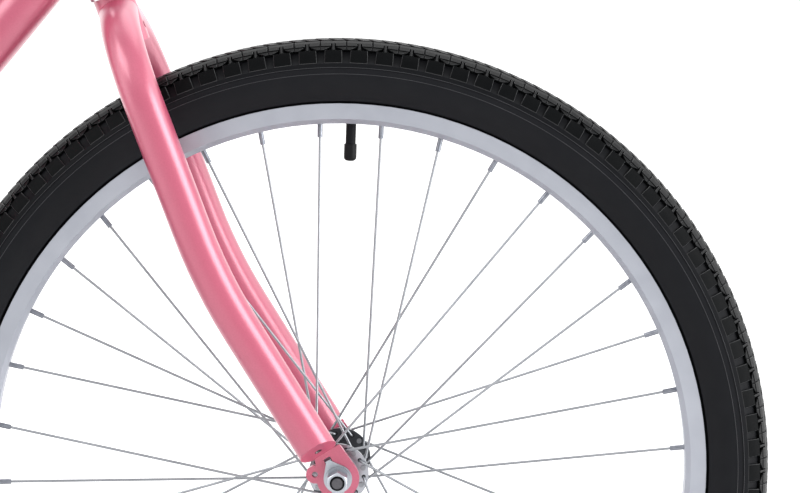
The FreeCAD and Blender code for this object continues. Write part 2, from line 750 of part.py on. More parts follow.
def teardrop(start, thickness, circle, tip, tip_radius):
    """Plate on the Y axis from start, round about the axle and drawn out to a smaller round end."""
    away = math.atan2(tip.z, tip.x)
    spread = math.acos((circle - tip_radius) / tip.Length)
    points = []
    for sign in (1, -1):
        angle = away + sign * spread
        points.append((Vector(circle * math.cos(angle), start, circle * math.sin(angle)),
                       Vector(tip.x + tip_radius * math.cos(angle), start,
                              tip.z + tip_radius * math.sin(angle))))
    far = Vector(tip.x + tip_radius * math.cos(away), start, tip.z + tip_radius * math.sin(away))
    back = Vector(-circle * math.cos(away), start, -circle * math.sin(away))
    edges = [Part.makeLine(points[0][0], points[0][1]), Part.Arc(points[0][1], far, points[1][1]).toShape(),
             Part.makeLine(points[1][1], points[1][0]), Part.Arc(points[1][0], back, points[0][0]).toShape()]
    return slab(Part.Wire(edges), Vector(0, thickness, 0))


def tab_slot(y, depth, length, width):
    """Block across the way from the axle to the dropout's slot, standing on the slot's near edge."""
    out = Vector(TAB_SLOT_X, 0, TAB_SLOT_Z).normalize()
    across = out.cross(Y_AXIS).normalize() * (length / 2)
    low = Vector(TAB_SLOT_X, y, TAB_SLOT_Z) - out * (TAB_SLOT_WIDTH / 2)
    high = low + out * width
    return polygon_slab([low + across, low - across, high - across, high + across], Vector(0, depth, 0))


def make_front_tab_washers():
    start = front_washer_face()
    slot = Vector(TAB_SLOT_X, 0, TAB_SLOT_Z)
    tip = slot * ((slot.Length - TAB_WIDTH / 2) / slot.Length)
    plate = teardrop(start, TAB_WASHER_THICKNESS, TAB_WASHER_RADIUS, tip, TAB_WIDTH / 2)
    hook = tab_slot(start + TAB_WASHER_THICKNESS / 2, -DROPOUT_THICKNESS, TAB_WIDTH, TAB_THICKNESS + TAB_GAP)
    hook = hook.cut(tab_slot(start + TAB_WASHER_THICKNESS, -2 * DROPOUT_THICKNESS, 2 * TAB_WIDTH, TAB_GAP))
    bore = rod(Vector(0, start - 1, 0), Vector(0, start + TAB_WASHER_THICKNESS + 1, 0),
               FRONT_AXLE_RADIUS + SEAT_GAP)
    return group(both_sides(plate.fuse(hook).cut(bore).Solids[0]))


# Fork, in the steering frame

def leg_path():
    """Centre line of the left leg, from inside the crown down past its end."""
    slope = math.radians(SHOULDER_SLOPE)
    drop = LEG_HALF_SPACING * math.tan(slope)
    bend = math.radians(LEG_BEND_ANGLE)
    knee = LEG_BEND_HEIGHT - LEG_BEND_RADIUS * math.tan(bend / 2)
    tip_s = LEG_END_HEIGHT - 2 * LEG_RADIUS
    tip_t = (knee - tip_s) * math.tan(bend)
    points = [Vector(0, 0, SHOULDER_HEIGHT), Vector(0, LEG_HALF_SPACING, SHOULDER_HEIGHT - drop),
              Vector(0, LEG_HALF_SPACING, knee), Vector(tip_t, LEG_HALF_SPACING, tip_s)]
    return bent_path(points, [SHOULDER_BEND_RADIUS, LEG_BEND_RADIUS])


def leg_end_block(offset):
    """Everything below the leg's slanted end, moved up the leg by offset."""
    bend = math.radians(LEG_BEND_ANGLE)
    knee = LEG_BEND_HEIGHT - LEG_BEND_RADIUS * math.tan(bend / 2)
    size = 8 * LEG_RADIUS
    block = Part.makeBox(size, size, size, Vector(-size / 2, -size / 2, -size))
    block.rotate(ORIGIN, Vector(1, 0, 0), LEG_END_TILT)
    block.rotate(ORIGIN, Y_AXIS, -LEG_BEND_ANGLE)
    height = LEG_END_HEIGHT + offset
    block.translate(Vector((knee - height) * math.tan(bend), LEG_HALF_SPACING, height))
    return block


def make_dropout():
    """Left dropout plate in the axle's frame, with its eyelet, tab slot and open axle slot."""
    inner = FRONT_OVER_LOCKNUT / 2
    up = Vector(0, DROPOUT_THICKNESS, 0)
    base = Vector(0, inner, 0)
    tilt = math.radians(TILT + LEG_BEND_ANGLE)
    to_leg = Vector(-math.sin(tilt), 0, math.cos(tilt))
    blade_top = base + to_leg * (LEG_END_HEIGHT + DROPOUT_OVERRUN)
    disc = Part.makeCylinder(DROPOUT_RADIUS, DROPOUT_THICKNESS, base, Y_AXIS)
    behind = to_leg.cross(Y_AXIS)
    wide = behind * (DROPOUT_RADIUS - SEAT_GAP)
    front = blade_top - behind * (LEG_RADIUS - DROPOUT_LEG_STEP)
    rear = blade_top + behind * DROPOUT_TOP_REAR
    blade = polygon_slab([base + wide, base - wide, front, rear], up)
    ear_centre = Vector(DROPOUT_EAR_X, inner, DROPOUT_EAR_Z)
    ear = Part.makeCylinder(DROPOUT_EAR_RADIUS, DROPOUT_THICKNESS, ear_centre, Y_AXIS)
    ear_root = Part.makeBox(-DROPOUT_EAR_X, DROPOUT_THICKNESS, 2 * DROPOUT_EAR_RADIUS,
                            Vector(DROPOUT_EAR_X, inner, DROPOUT_EAR_Z - DROPOUT_EAR_RADIUS))
    plate = fused([disc, blade, ear, ear_root])
    eyelet = Part.makeCylinder(DROPOUT_EYELET_RADIUS, DROPOUT_THICKNESS, ear_centre, Y_AXIS)
    slot_radius = FRONT_AXLE_RADIUS + DROPOUT_SLOT_GAP
    seat = Part.makeCylinder(slot_radius, DROPOUT_THICKNESS, base, Y_AXIS)
    mouth = Part.makeBox(2 * slot_radius, DROPOUT_THICKNESS, 2 * DROPOUT_RADIUS,
                         Vector(-slot_radius, inner, -2 * DROPOUT_RADIUS))
    hook_slot = tab_slot(inner, DROPOUT_THICKNESS, TAB_SLOT_LENGTH, TAB_SLOT_WIDTH)
    return plate.cut([eyelet, seat, mouth, hook_slot]).Solids[0]


def make_fork_leg():
    """Left leg, with its end cap, in the steering frame."""
    path = leg_path()
    bar = swept(path, LEG_RADIUS)
    core = swept(path, LEG_RADIUS - LEG_WALL)
    tube = bar.cut(core.cut(leg_end_block(LEG_CAP_THICKNESS))).cut(leg_end_block(0))
    crown = rod(Vector(0, 0, CROWN_BOTTOM - 2 * LEG_RADIUS), Vector(0, 0, CROWN_TOP + LEG_RADIUS),
                CROWN_RADIUS + SEAT_GAP)
    above = Part.makeBox(8 * LEG_RADIUS, LEG_HALF_SPACING, LEG_RADIUS * 4,
                         Vector(-4 * LEG_RADIUS, 0, CROWN_TOP))
    other_side = Part.makeBox(8 * LEG_RADIUS, LEG_HALF_SPACING, LEG_RADIUS * 8,
                              Vector(-4 * LEG_RADIUS, -LEG_HALF_SPACING, SHOULDER_HEIGHT - 4 * LEG_RADIUS))
    tube = tube.cut([crown, above, other_side])
    tube = max(tube.Solids, key=lambda solid: solid.Volume)
    end = leg_end_centre()
    reach = Vector(0, 0, 3 * LEG_CAP_THICKNESS)
    drain = rod(end - reach, end + reach, DRAIN_HOLE_RADIUS)
    return tube.cut(drain).Solids[0]


def make_leg_dropout():
    """Left dropout, welded on below the leg's end cap, in the steering frame."""
    to_steer = STEER.inverse().multiply(FRONT_WHEEL)
    plate = placed(make_dropout(), to_steer).common(leg_end_block(-SEAT_GAP))
    return max(plate.Solids, key=lambda solid: solid.Volume)


def leg_end_centre():
    bend = math.radians(LEG_BEND_ANGLE)
    knee = LEG_BEND_HEIGHT - LEG_BEND_RADIUS * math.tan(bend / 2)
    return Vector((knee - LEG_END_HEIGHT) * math.tan(bend), LEG_HALF_SPACING, LEG_END_HEIGHT)


def make_steerer():
    crown = ring_z(CROWN_BOTTOM, CROWN_TOP, CROWN_RADIUS, STEERER_RADIUS - STEERER_WALL)
    stalk = ring_z(CROWN_TOP, STEERER_TOP, STEERER_RADIUS, STEERER_RADIUS - STEERER_WALL)
    hole = rod(Vector(-2 * CROWN_RADIUS, 0, CROWN_HOLE_HEIGHT),
               Vector(2 * CROWN_RADIUS, 0, CROWN_HOLE_HEIGHT),
               CROWN_HOLE_RADIUS)
    return crown.fuse(stalk).cut(hole).removeSplitter().Solids[0]


def make_fork():
    solids = [make_steerer()] + both_sides(make_fork_leg()) + both_sides(make_leg_dropout())
    return placed(group(solids), STEER)


# Headset, in the steering frame

def lower_ball_height():
    return HEAD_TUBE_BOTTOM - CUP_HEIGHT + HUB_BALL_RADIUS - 0.6


def upper_ball_height():
    return HEAD_TUBE_TOP + CUP_HEIGHT - HUB_BALL_RADIUS + 0.6


def make_cup(low, direction):
    """Bearing cup pressed into an end of the head tube; low is that end, direction points out of it."""
    skirt = HEAD_TUBE_RADIUS - HEAD_TUBE_WALL - SEAT_GAP
    track = HEADSET_BALL_CIRCLE + HUB_BALL_RADIUS + BALL_GAP
    ceiling = CUP_HEIGHT - 2 * HUB_BALL_RADIUS + 0.6 - BALL_GAP
    outline = [(CUP_BORE_RADIUS, -CUP_SKIRT), (skirt, -CUP_SKIRT), (skirt, SEAT_GAP), (CUP_RADIUS, SEAT_GAP),
               (CUP_RADIUS, CUP_HEIGHT), (track, CUP_HEIGHT), (track, ceiling), (CUP_BORE_RADIUS, ceiling)]
    return turned([(r, low + direction * h) for r, h in outline], Z_AXIS)


def make_headset_cups():
    return placed(group([make_cup(HEAD_TUBE_BOTTOM, -1), make_cup(HEAD_TUBE_TOP, 1)]), STEER)


def make_headset_races():
    bore = STEERER_RADIUS + SEAT_GAP
    outer = HEADSET_BALL_CIRCLE + HUB_BALL_RADIUS
    low_floor = lower_ball_height() - HUB_BALL_RADIUS - SEAT_GAP
    crown_race = turned([(bore, CROWN_TOP + SEAT_GAP), (outer, CROWN_TOP + SEAT_GAP), (outer, low_floor),
                         (RACE_NECK_RADIUS, low_floor), (RACE_NECK_RADIUS, low_floor + HUB_BALL_RADIUS),
                         (bore, low_floor + HUB_BALL_RADIUS)], Z_AXIS)
    high_floor = upper_ball_height() + HUB_BALL_RADIUS + SEAT_GAP
    screwed = turned([(bore, high_floor - HUB_BALL_RADIUS), (RACE_NECK_RADIUS, high_floor - HUB_BALL_RADIUS),
                      (RACE_NECK_RADIUS, high_floor), (CUP_RADIUS, high_floor),
                      (CUP_RADIUS, high_floor + 3.0),
                      (CUP_RADIUS - 3.0, RACE_TOP), (bore, RACE_TOP)], Z_AXIS)
    base = RACE_TOP + SEAT_GAP
    locknut = hexagon(Vector(0, 0, base), Vector(0, 0, LOCKNUT_HEIGHT), LOCKNUT_ACROSS_FLATS)
    locknut = locknut.cut(rod(Vector(0, 0, RACE_TOP - 1), Vector(0, 0, base + LOCKNUT_HEIGHT + 1), bore))
    return placed(group([crown_race, screwed, locknut]), STEER)


def make_headset_bearings():
    lower = balls_about(Z_AXIS, HEADSET_BALL_COUNT, HEADSET_BALL_CIRCLE, lower_ball_height(), HUB_BALL_RADIUS)
    upper = balls_about(Z_AXIS, HEADSET_BALL_COUNT, HEADSET_BALL_CIRCLE, upper_ball_height(), HUB_BALL_RADIUS)
    return placed(group(lower + upper), STEER)


# Stem and handlebar

def stem_corner():
    return STEERER_TOP + STEM_RISE


def stem_top():
    return stem_corner() + STEM_ARM_RADIUS + STEM_COLLAR_STEP


def make_stem():
    quill_radius = STEERER_RADIUS - STEERER_WALL - SEAT_GAP
    bottom = STEERER_TOP - QUILL_DEPTH
    top = stem_corner()
    quill = rod(Vector(0, 0, bottom), Vector(0, 0, top), quill_radius)
    collar = rod(Vector(0, 0, STEERER_TOP + 1.0), Vector(0, 0, stem_top()),
                 STEM_ARM_RADIUS + STEM_COLLAR_STEP)
    arm = rod(Vector(0, 0, top), Vector(STEM_REACH, 0, top), STEM_ARM_RADIUS)
    half = BAR_CLAMP_WIDTH / 2
    outer = BAR_SLEEVE_RADIUS + BAR_CLAMP_WALL
    clamp = rod(Vector(STEM_REACH, -half, top), Vector(STEM_REACH, half, top), outer)
    lug = Part.makeBox(CLAMP_LUG_LENGTH + outer, BAR_CLAMP_WIDTH * 0.6, 5 * CLAMP_SLIT + 2,
                       Vector(STEM_REACH, -BAR_CLAMP_WIDTH * 0.3, top - 2.5 * CLAMP_SLIT - 1))
    body = fused([quill, collar, arm, clamp, lug])
    bar_bore = rod(Vector(STEM_REACH, -half - 1, top), Vector(STEM_REACH, half + 1, top),
                   BAR_SLEEVE_RADIUS + SEAT_GAP)
    slit = Part.makeBox(CLAMP_LUG_LENGTH + outer + 1, BAR_CLAMP_WIDTH + 2, CLAMP_SLIT,
                        Vector(STEM_REACH, -half - 1, top - CLAMP_SLIT / 2))
    bolt_x = clamp_bolt_x()
    bolt_hole = rod(Vector(bolt_x, 0, top - outer), Vector(bolt_x, 0, top + outer),
                    CLAMP_BOLT_RADIUS + SEAT_GAP)
    expander = rod(Vector(0, 0, bottom - 1), Vector(0, 0, top + 2 * STEM_ARM_RADIUS),
                   STEM_BOLT_RADIUS + SEAT_GAP)
    wedge_cut = wedge_block(bottom, SEAT_GAP)
    return placed(body.cut([bar_bore, slit, bolt_hole, expander, wedge_cut]).Solids[0], STEER)


def clamp_bolt_x():
    return STEM_REACH + BAR_SLEEVE_RADIUS + BAR_CLAMP_WALL + CLAMP_LUG_LENGTH / 2


def wedge_block(bottom, gap):
    """Space below the quill's slanted foot, where the wedge sits."""
    wide = 2 * STEERER_RADIUS
    slant = STEERER_RADIUS
    points = [Vector(-wide, -wide, bottom - 2 * wide), Vector(wide, -wide, bottom - 2 * wide),
              Vector(wide, -wide, bottom + slant * 2 + gap), Vector(-wide, -wide, bottom - slant * 2 + gap)]
    return polygon_slab(points, Vector(0, 2 * wide, 0))


def make_stem_bolts():
    bottom = STEERER_TOP - QUILL_DEPTH
    top = stem_top() + SEAT_GAP
    low = bottom - WEDGE_HEIGHT
    shaft = rod(Vector(0, 0, low), Vector(0, 0, top + 1), STEM_BOLT_RADIUS)
    head = hexagon(Vector(0, 0, top), Vector(0, 0, STEM_BOLT_HEAD_HEIGHT), STEM_BOLT_HEAD_RADIUS * 1.7)
    expander = shaft.fuse(head).removeSplitter().Solids[0]
    quill_radius = STEERER_RADIUS - STEERER_WALL - SEAT_GAP
    wedge = rod(Vector(0, 0, low), Vector(0, 0, bottom + 2 * STEERER_RADIUS), quill_radius)
    wedge = wedge.common(wedge_block(bottom, 0))
    wedge = wedge.cut(rod(Vector(0, 0, low - 1), Vector(0, 0, top), STEM_BOLT_RADIUS + SEAT_GAP)).Solids[0]
    x = clamp_bolt_x()
    lug_top = stem_corner() + 2.5 * CLAMP_SLIT + 1
    lug_low = stem_corner() - 2.5 * CLAMP_SLIT - 1
    pinch = hexagon(Vector(x, 0, lug_top + SEAT_GAP), Vector(0, 0, 5), 10)
    pinch = pinch.fuse(rod(Vector(x, 0, lug_low - 6), Vector(x, 0, lug_top + 1), CLAMP_BOLT_RADIUS))
    nut = hexagon(Vector(x, 0, lug_low - SEAT_GAP), Vector(0, 0, -5), 10)
    pinch = pinch.fuse(nut).removeSplitter().Solids[0]
    return placed(group([expander, wedge, pinch]), STEER)


def bar_points(side):
    """Corners of one half of the handlebar, from the middle to the grip's end."""
    middle = BAR_CENTRE
    straight = middle + Vector(0, side * BAR_STRAIGHT_HALF, 0)
    risen = middle + Vector(BAR_RISE_FORWARD, side * BAR_RISE_OUT, BAR_RISE)
    elbow = middle + Vector(BAR_ELBOW_FORWARD, side * BAR_ELBOW_OUT, BAR_ELBOW_RISE)
    end = middle + Vector(-BAR_END_BACK, side * BAR_END_OUT, BAR_END_RISE)
    return [middle, straight, risen, elbow, end]


def make_handlebar():
    radii = [BAR_FIRST_BEND_RADIUS, BAR_SECOND_BEND_RADIUS, BAR_THIRD_BEND_RADIUS]
    left = swept_tube(bent_path(bar_points(1), radii), BAR_RADIUS, BAR_WALL)
    right = mirrored_y(left)
    half = Vector(0, BAR_SLEEVE_HALF, 0)
    sleeve = pipe_piece(BAR_CENTRE - half, BAR_CENTRE + half, BAR_SLEEVE_RADIUS, BAR_RADIUS - BAR_WALL)
    return fused([left, right, sleeve])


def grip_line():
    points = bar_points(1)
    end = points[-1]
    back = (points[-2] - end).normalize()
    return end, back


def make_left_grip():
    end, back = grip_line()
    outer_end = end - back * (GRIP_END_WALL + SEAT_GAP)
    inner_end = end + back * GRIP_LENGTH
    body = rod(outer_end, inner_end, GRIP_RADIUS)
    tip = [edge for edge in body.Edges if (edge.CenterOfMass - outer_end).Length < 0.1]
    body = body.makeFillet(GRIP_END_WALL * 0.8, tip)
    flange = rod(inner_end - back * GRIP_FLANGE_WIDTH, inner_end, GRIP_FLANGE_RADIUS)
    bore = rod(end - back * SEAT_GAP, inner_end + back, BAR_RADIUS + SEAT_GAP)
    return body.fuse(flange).cut(bore).removeSplitter().Solids[0]


# Frame

def steer_point(height):
    return STEER_FOOT + STEER_UP * height


def seat_point(distance):
    return BRACKET + SEAT_UP * distance


def swooping_path(start, slope, straight, end):
    """Straight run down and back from start, then one arc to end."""
    angle = math.radians(slope)
    heading = Vector(-math.cos(angle), 0, -math.sin(angle))
    knee = start + heading * straight
    return [Part.makeLine(start, knee), arc_leaving(knee, heading, end)]


def head_tube_envelope():
    return placed(rod(Vector(0, 0, HEAD_TUBE_BOTTOM), Vector(0, 0, HEAD_TUBE_TOP),
                      HEAD_TUBE_RADIUS + SEAT_GAP), STEER)


def bracket_envelope():
    half = Vector(0, BRACKET_WIDTH / 2, 0)
    return rod(BRACKET - half, BRACKET + half, BRACKET_RADIUS + SEAT_GAP)


def seat_tube_envelope():
    return rod(BRACKET, seat_point(SEAT_TUBE_LENGTH), SEAT_TUBE_RADIUS + SEAT_GAP)


def largest(shape):
    return max(shape.Solids, key=lambda solid: solid.Volume)


def make_head_tube():
    inner = HEAD_TUBE_RADIUS - HEAD_TUBE_WALL
    return placed(ring_z(HEAD_TUBE_BOTTOM, HEAD_TUBE_TOP, HEAD_TUBE_RADIUS, inner), STEER)


def down_tube_path():
    return swooping_path(steer_point(DOWN_TUBE_HEIGHT), DOWN_TUBE_SLOPE, DOWN_TUBE_STRAIGHT, BRACKET)


def make_down_tube():
    tube = swept_tube(down_tube_path(), DOWN_TUBE_RADIUS, DOWN_TUBE_WALL)
    return largest(tube.cut([head_tube_envelope(), bracket_envelope(), seat_tube_envelope()]))


def make_top_tube():
    path = swooping_path(steer_point(TOP_TUBE_HEIGHT), TOP_TUBE_SLOPE, TOP_TUBE_STRAIGHT,
                         seat_point(TOP_TUBE_END))
    tube = swept_tube(path, TOP_TUBE_RADIUS, TOP_TUBE_WALL)
    down = swept(down_tube_path(), DOWN_TUBE_RADIUS + SEAT_GAP)
    return largest(tube.cut([head_tube_envelope(), seat_tube_envelope(), down]))


def make_seat_tube():
    bore = SEAT_POST_RADIUS + RUNNING_GAP
    tube = pipe_piece(BRACKET, seat_point(SEAT_TUBE_LENGTH), SEAT_TUBE_RADIUS, bore)
    slit = Part.makeBox(3 * SEAT_TUBE_RADIUS, SEAT_SLIT, SEAT_COLLAR_HEIGHT * 1.6,
                        Vector(-3 * SEAT_TUBE_RADIUS, -SEAT_SLIT / 2,
                               SEAT_TUBE_LENGTH - SEAT_COLLAR_HEIGHT * 1.6))
    return largest(tube.cut([bracket_envelope(), placed(slit, SEAT)]))


def make_bottom_bracket_shell():
    half = BRACKET_WIDTH / 2
    return placed(ring_y(-half, half, BRACKET_RADIUS, BRACKET_BORE_RADIUS), CRANK)


def chain_stay_path():
    """Centre line of the left chain stay, from the bracket to beside the rear axle."""
    end_y = REAR_OVER_LOCKNUT / 2 + STAY_END_OUT
    back = (REAR_AXLE - BRACKET).normalize()
    reach = (REAR_AXLE - BRACKET).Length - STAY_AXLE_DISTANCE
    points = [BRACKET + Vector(0, STAY_ROOT_Y, 0),
              BRACKET + back * STAY_NARROW_BACK + Vector(0, STAY_NARROW_Y, 0),
              BRACKET + back * STAY_WIDE_BACK + Vector(0, STAY_WIDE_Y, 0),
              BRACKET + back * reach + Vector(0, end_y, 0)]
    return points


def seat_stay_points():
    """Corners of the left seat stay, from the seat tube to above the rear axle."""
    end_y = REAR_OVER_LOCKNUT / 2 + STAY_END_OUT
    root = seat_point(SEAT_STAY_HEIGHT)
    away = (REAR_AXLE - root).normalize()
    reach = (REAR_AXLE - root).Length - STAY_AXLE_DISTANCE
    return [root + Vector(0, SEAT_STAY_ROOT_Y, 0),
            root + away * SEAT_STAY_WIDE_BACK + Vector(0, SEAT_STAY_WIDE_Y, 0),
            root + away * reach + Vector(0, end_y, 0)]


def make_rear_dropout():
    """Left rear dropout in the axle's frame, open to the rear for the axle."""
    inner = REAR_OVER_LOCKNUT / 2
    base = Vector(0, inner, 0)
    up = Vector(0, REAR_DROPOUT_THICKNESS, 0)
    pieces = [Part.makeCylinder(REAR_DROPOUT_RADIUS, REAR_DROPOUT_THICKNESS, base, Y_AXIS)]
    for target in (BRACKET, seat_point(SEAT_STAY_HEIGHT)):
        way = (target - REAR_AXLE).normalize()
        across = way.cross(Y_AXIS) * REAR_DROPOUT_BAR_RADIUS
        end = base + way * REAR_DROPOUT_REACH
        pieces.append(polygon_slab([base + across, base - across, end - across, end + across], up))
    ear_centre = Vector(RACK_EYELET_X, inner, RACK_EYELET_Z)
    pieces.append(Part.makeCylinder(RACK_EAR_RADIUS, REAR_DROPOUT_THICKNESS, ear_centre, Y_AXIS))
    pieces.append(Part.makeBox(2 * RACK_EAR_RADIUS, REAR_DROPOUT_THICKNESS, RACK_EYELET_Z,
                               Vector(RACK_EYELET_X - RACK_EAR_RADIUS, inner, 0)))
    pieces.append(Part.makeBox(REAR_SLOT_LENGTH, REAR_DROPOUT_THICKNESS, 2 * REAR_DROPOUT_RADIUS,
                               Vector(-REAR_SLOT_LENGTH, inner, -REAR_DROPOUT_RADIUS)))
    plate = fused(pieces)
    eyelet = Part.makeCylinder(RACK_EYELET_RADIUS, REAR_DROPOUT_THICKNESS, ear_centre, Y_AXIS)
    slot_radius = REAR_AXLE_RADIUS + DROPOUT_SLOT_GAP
    seat = Part.makeCylinder(slot_radius, REAR_DROPOUT_THICKNESS, base, Y_AXIS)
    mouth = Part.makeBox(2 * REAR_SLOT_LENGTH, REAR_DROPOUT_THICKNESS, 2 * slot_radius,
                         Vector(-2 * REAR_SLOT_LENGTH, inner, -slot_radius))
    return plate.cut([eyelet, seat, mouth]).Solids[0]


def make_rear_stays():
    plate = placed(make_rear_dropout(), REAR_WHEEL)
    chain_path = bent_path(chain_stay_path(), [STAY_BEND_RADIUS, STAY_BEND_RADIUS])
    chain_stay = swept_tube(chain_path, STAY_RADIUS, STAY_WALL)
    chain_stay = largest(chain_stay.cut([bracket_envelope(), plate, seat_tube_envelope()]))
    seat_path = bent_path(seat_stay_points(), [SEAT_STAY_BEND_RADIUS])
    seat_stay = swept_tube(seat_path, STAY_RADIUS, STAY_WALL)
    middle = Part.makeBox(WHEELBASE, WHEELBASE, WHEELBASE, Vector(-WHEELBASE, -WHEELBASE, 0))
    seat_stay = largest(seat_stay.cut([seat_tube_envelope(), plate, middle]))
    chain_bar = swept(chain_path, STAY_RADIUS + SEAT_GAP)
    seat_stay = largest(seat_stay.cut(chain_bar))
    return group(both_sides(chain_stay) + both_sides(seat_stay) + both_sides(plate))


# Seat

def make_seat_collar():
    inner = SEAT_TUBE_RADIUS + SEAT_GAP
    outer = inner + SEAT_COLLAR_WALL
    low = SEAT_TUBE_LENGTH - SEAT_COLLAR_HEIGHT
    body = ring_z(low, SEAT_TUBE_LENGTH, outer, inner)
    lug = Part.makeBox(outer + SEAT_COLLAR_LUG, 6 * SEAT_SLIT, SEAT_COLLAR_HEIGHT,
                       Vector(-outer - SEAT_COLLAR_LUG, -3 * SEAT_SLIT, low))
    body = body.fuse(lug.cut(rod(Vector(0, 0, low - 1), Vector(0, 0, SEAT_TUBE_LENGTH + 1), inner)))
    slit = Part.makeBox(2 * outer + SEAT_COLLAR_LUG, SEAT_SLIT, SEAT_COLLAR_HEIGHT + 2,
                        Vector(-2 * outer - SEAT_COLLAR_LUG, -SEAT_SLIT / 2, low - 1))
    x, z = collar_bolt_place()
    hole = rod(Vector(x, -50, z), Vector(x, 50, z), SEAT_BOLT_RADIUS + SEAT_GAP)
    return placed(largest(body.cut([slit, hole])), SEAT)


def collar_bolt_place():
    behind = SEAT_TUBE_RADIUS + SEAT_COLLAR_WALL + SEAT_COLLAR_LUG / 2
    return -behind, SEAT_TUBE_LENGTH - SEAT_COLLAR_HEIGHT / 2


def make_seat_post():
    low = SEAT_TUBE_LENGTH - SEAT_POST_INSERT
    neck = POST_TOP - SEAT_POST_NECK_LENGTH
    inner = SEAT_POST_NECK_RADIUS - SEAT_POST_WALL
    outline = [(inner, low), (SEAT_POST_RADIUS, low), (SEAT_POST_RADIUS, neck - 6.0),
               (SEAT_POST_NECK_RADIUS, neck), (SEAT_POST_NECK_RADIUS, POST_TOP), (inner, POST_TOP)]
    return placed(turned(outline, Z_AXIS), SEAT)


def rail_height():
    return POST_HEAD.z - SADDLE_CLAMP_LENGTH / 2 + 4.0


def clamp_centre():
    along = (rail_height() - POST_HEAD.z) / SEAT_UP.z
    return POST_HEAD + SEAT_UP * along


def saddle_bottom():
    return POST_HEAD.z + SADDLE_RISE - SADDLE_PAD_HEIGHT * 0.5


def nose_x():
    return POST_HEAD.x + SADDLE_NOSE_AHEAD


def spring_x():
    return POST_HEAD.x - SPRING_BEHIND_POST


def make_saddle_clamp():
    """Clamp around the seat post's neck, with a jaw for each rail."""
    centre = clamp_centre()
    half = SADDLE_CLAMP_LENGTH / 2
    sleeve = rod(centre - SEAT_UP * (half - 4), centre + SEAT_UP * (half - 8),
                 SEAT_POST_NECK_RADIUS + SADDLE_CLAMP_WALL)
    wide = RAIL_HALF_SPACING + RAIL_RADIUS + SADDLE_CLAMP_WALL
    jaw = rod(centre - Vector(0, wide, 0), centre + Vector(0, wide, 0), RAIL_RADIUS + SADDLE_CLAMP_WALL)
    body = sleeve.fuse(jaw)
    post = rod(centre - SEAT_UP * 60, centre + SEAT_UP * 60, SEAT_POST_NECK_RADIUS + SEAT_GAP)
    cuts = [post]
    for side in (1, -1):
        y = side * RAIL_HALF_SPACING
        cuts.append(rod(centre + Vector(-60, y, 0), centre + Vector(60, y, 0), RAIL_RADIUS + SEAT_GAP))
    bolt = hexagon(centre + Vector(0, wide - 1, 0), Vector(0, 6, 0), 12)
    nut = hexagon(centre - Vector(0, wide - 1, 0), Vector(0, -6, 0), 12)
    return largest(fused([body, bolt, nut]).cut(cuts))


def spring_base():
    return saddle_bottom() - SADDLE_PAN_THICKNESS - spring_height()


def spring_pitch():
    return 4.6 * SPRING_WIRE_RADIUS


def spring_height():
    return SPRING_TURNS * spring_pitch() + 2 * (4 * SPRING_WIRE_RADIUS + SPRING_COIL_RADIUS / 3)


def nose_pivot():
    return Vector(nose_x() - NOSE_PIVOT_BACK, 0, saddle_bottom() - SADDLE_PAN_THICKNESS - NOSE_PIVOT_DROP)


def rail_points(side):
    """Corners of one rail, from under the nose back through the clamp and down to the spring's plate."""
    z = rail_height()
    clamp_x = clamp_centre().x
    low = spring_base() - SPRING_PLATE_THICKNESS - RAIL_RADIUS + 1.0
    nose = nose_pivot()
    part_way = (RAIL_HALF_SPACING + 1.5 * SPRING_HALF_SPACING) / 2.5
    return [Vector(nose.x, side * NOSE_RAIL_Y, nose.z),
            Vector(clamp_x + RAIL_AHEAD, side * RAIL_HALF_SPACING, z),
            Vector(clamp_x - SADDLE_CLAMP_LENGTH * 0.7, side * RAIL_HALF_SPACING, z),
            Vector(spring_x() + 1.5 * SPRING_PLATE_RADIUS, side * part_way, low),
            Vector(spring_x(), side * SPRING_HALF_SPACING, low)]


def make_saddle_rails():
    """Two bars from a tube under the nose to a plate under each spring."""
    pivot = nose_pivot()
    half = Vector(0, NOSE_TUBE_HALF, 0)
    pieces = [rod(pivot - half, pivot + half, NOSE_TUBE_RADIUS)]
    radii = [RAIL_FRONT_BEND_RADIUS, RAIL_REAR_BEND_RADIUS, RAIL_REAR_BEND_RADIUS]
    for side in (1, -1):
        pieces.append(swept(bent_path(rail_points(side), radii), RAIL_RADIUS))
        top = Vector(spring_x(), side * SPRING_HALF_SPACING, spring_base() - SEAT_GAP)
        pieces.append(rod(top, top - Vector(0, 0, SPRING_PLATE_THICKNESS), SPRING_PLATE_RADIUS))
    return largest(fused(pieces).cut(rod(pivot - half * 2, pivot + half * 2, NOSE_PIN_RADIUS + RUNNING_GAP)))


def biarc(start, start_way, end, end_way):
    """Two arcs that leave start along start_way and reach end along end_way."""
    chord = end - start
    both = start_way + end_way
    lean = 2 * (1 - start_way.dot(end_way))
    reach = chord.dot(both)
    if abs(lean) < 1e-9:
        length = chord.dot(chord) / (2 * reach)
    else:
        length = (-reach + math.sqrt(reach * reach + lean * chord.dot(chord))) / lean
    joint = (start + end + (start_way - end_way) * length) * 0.5
    middle_way = ((end - end_way * length) - (start + start_way * length)).normalize()
    return [arc_leaving(start, start_way, joint), arc_leaving(joint, middle_way, end)]


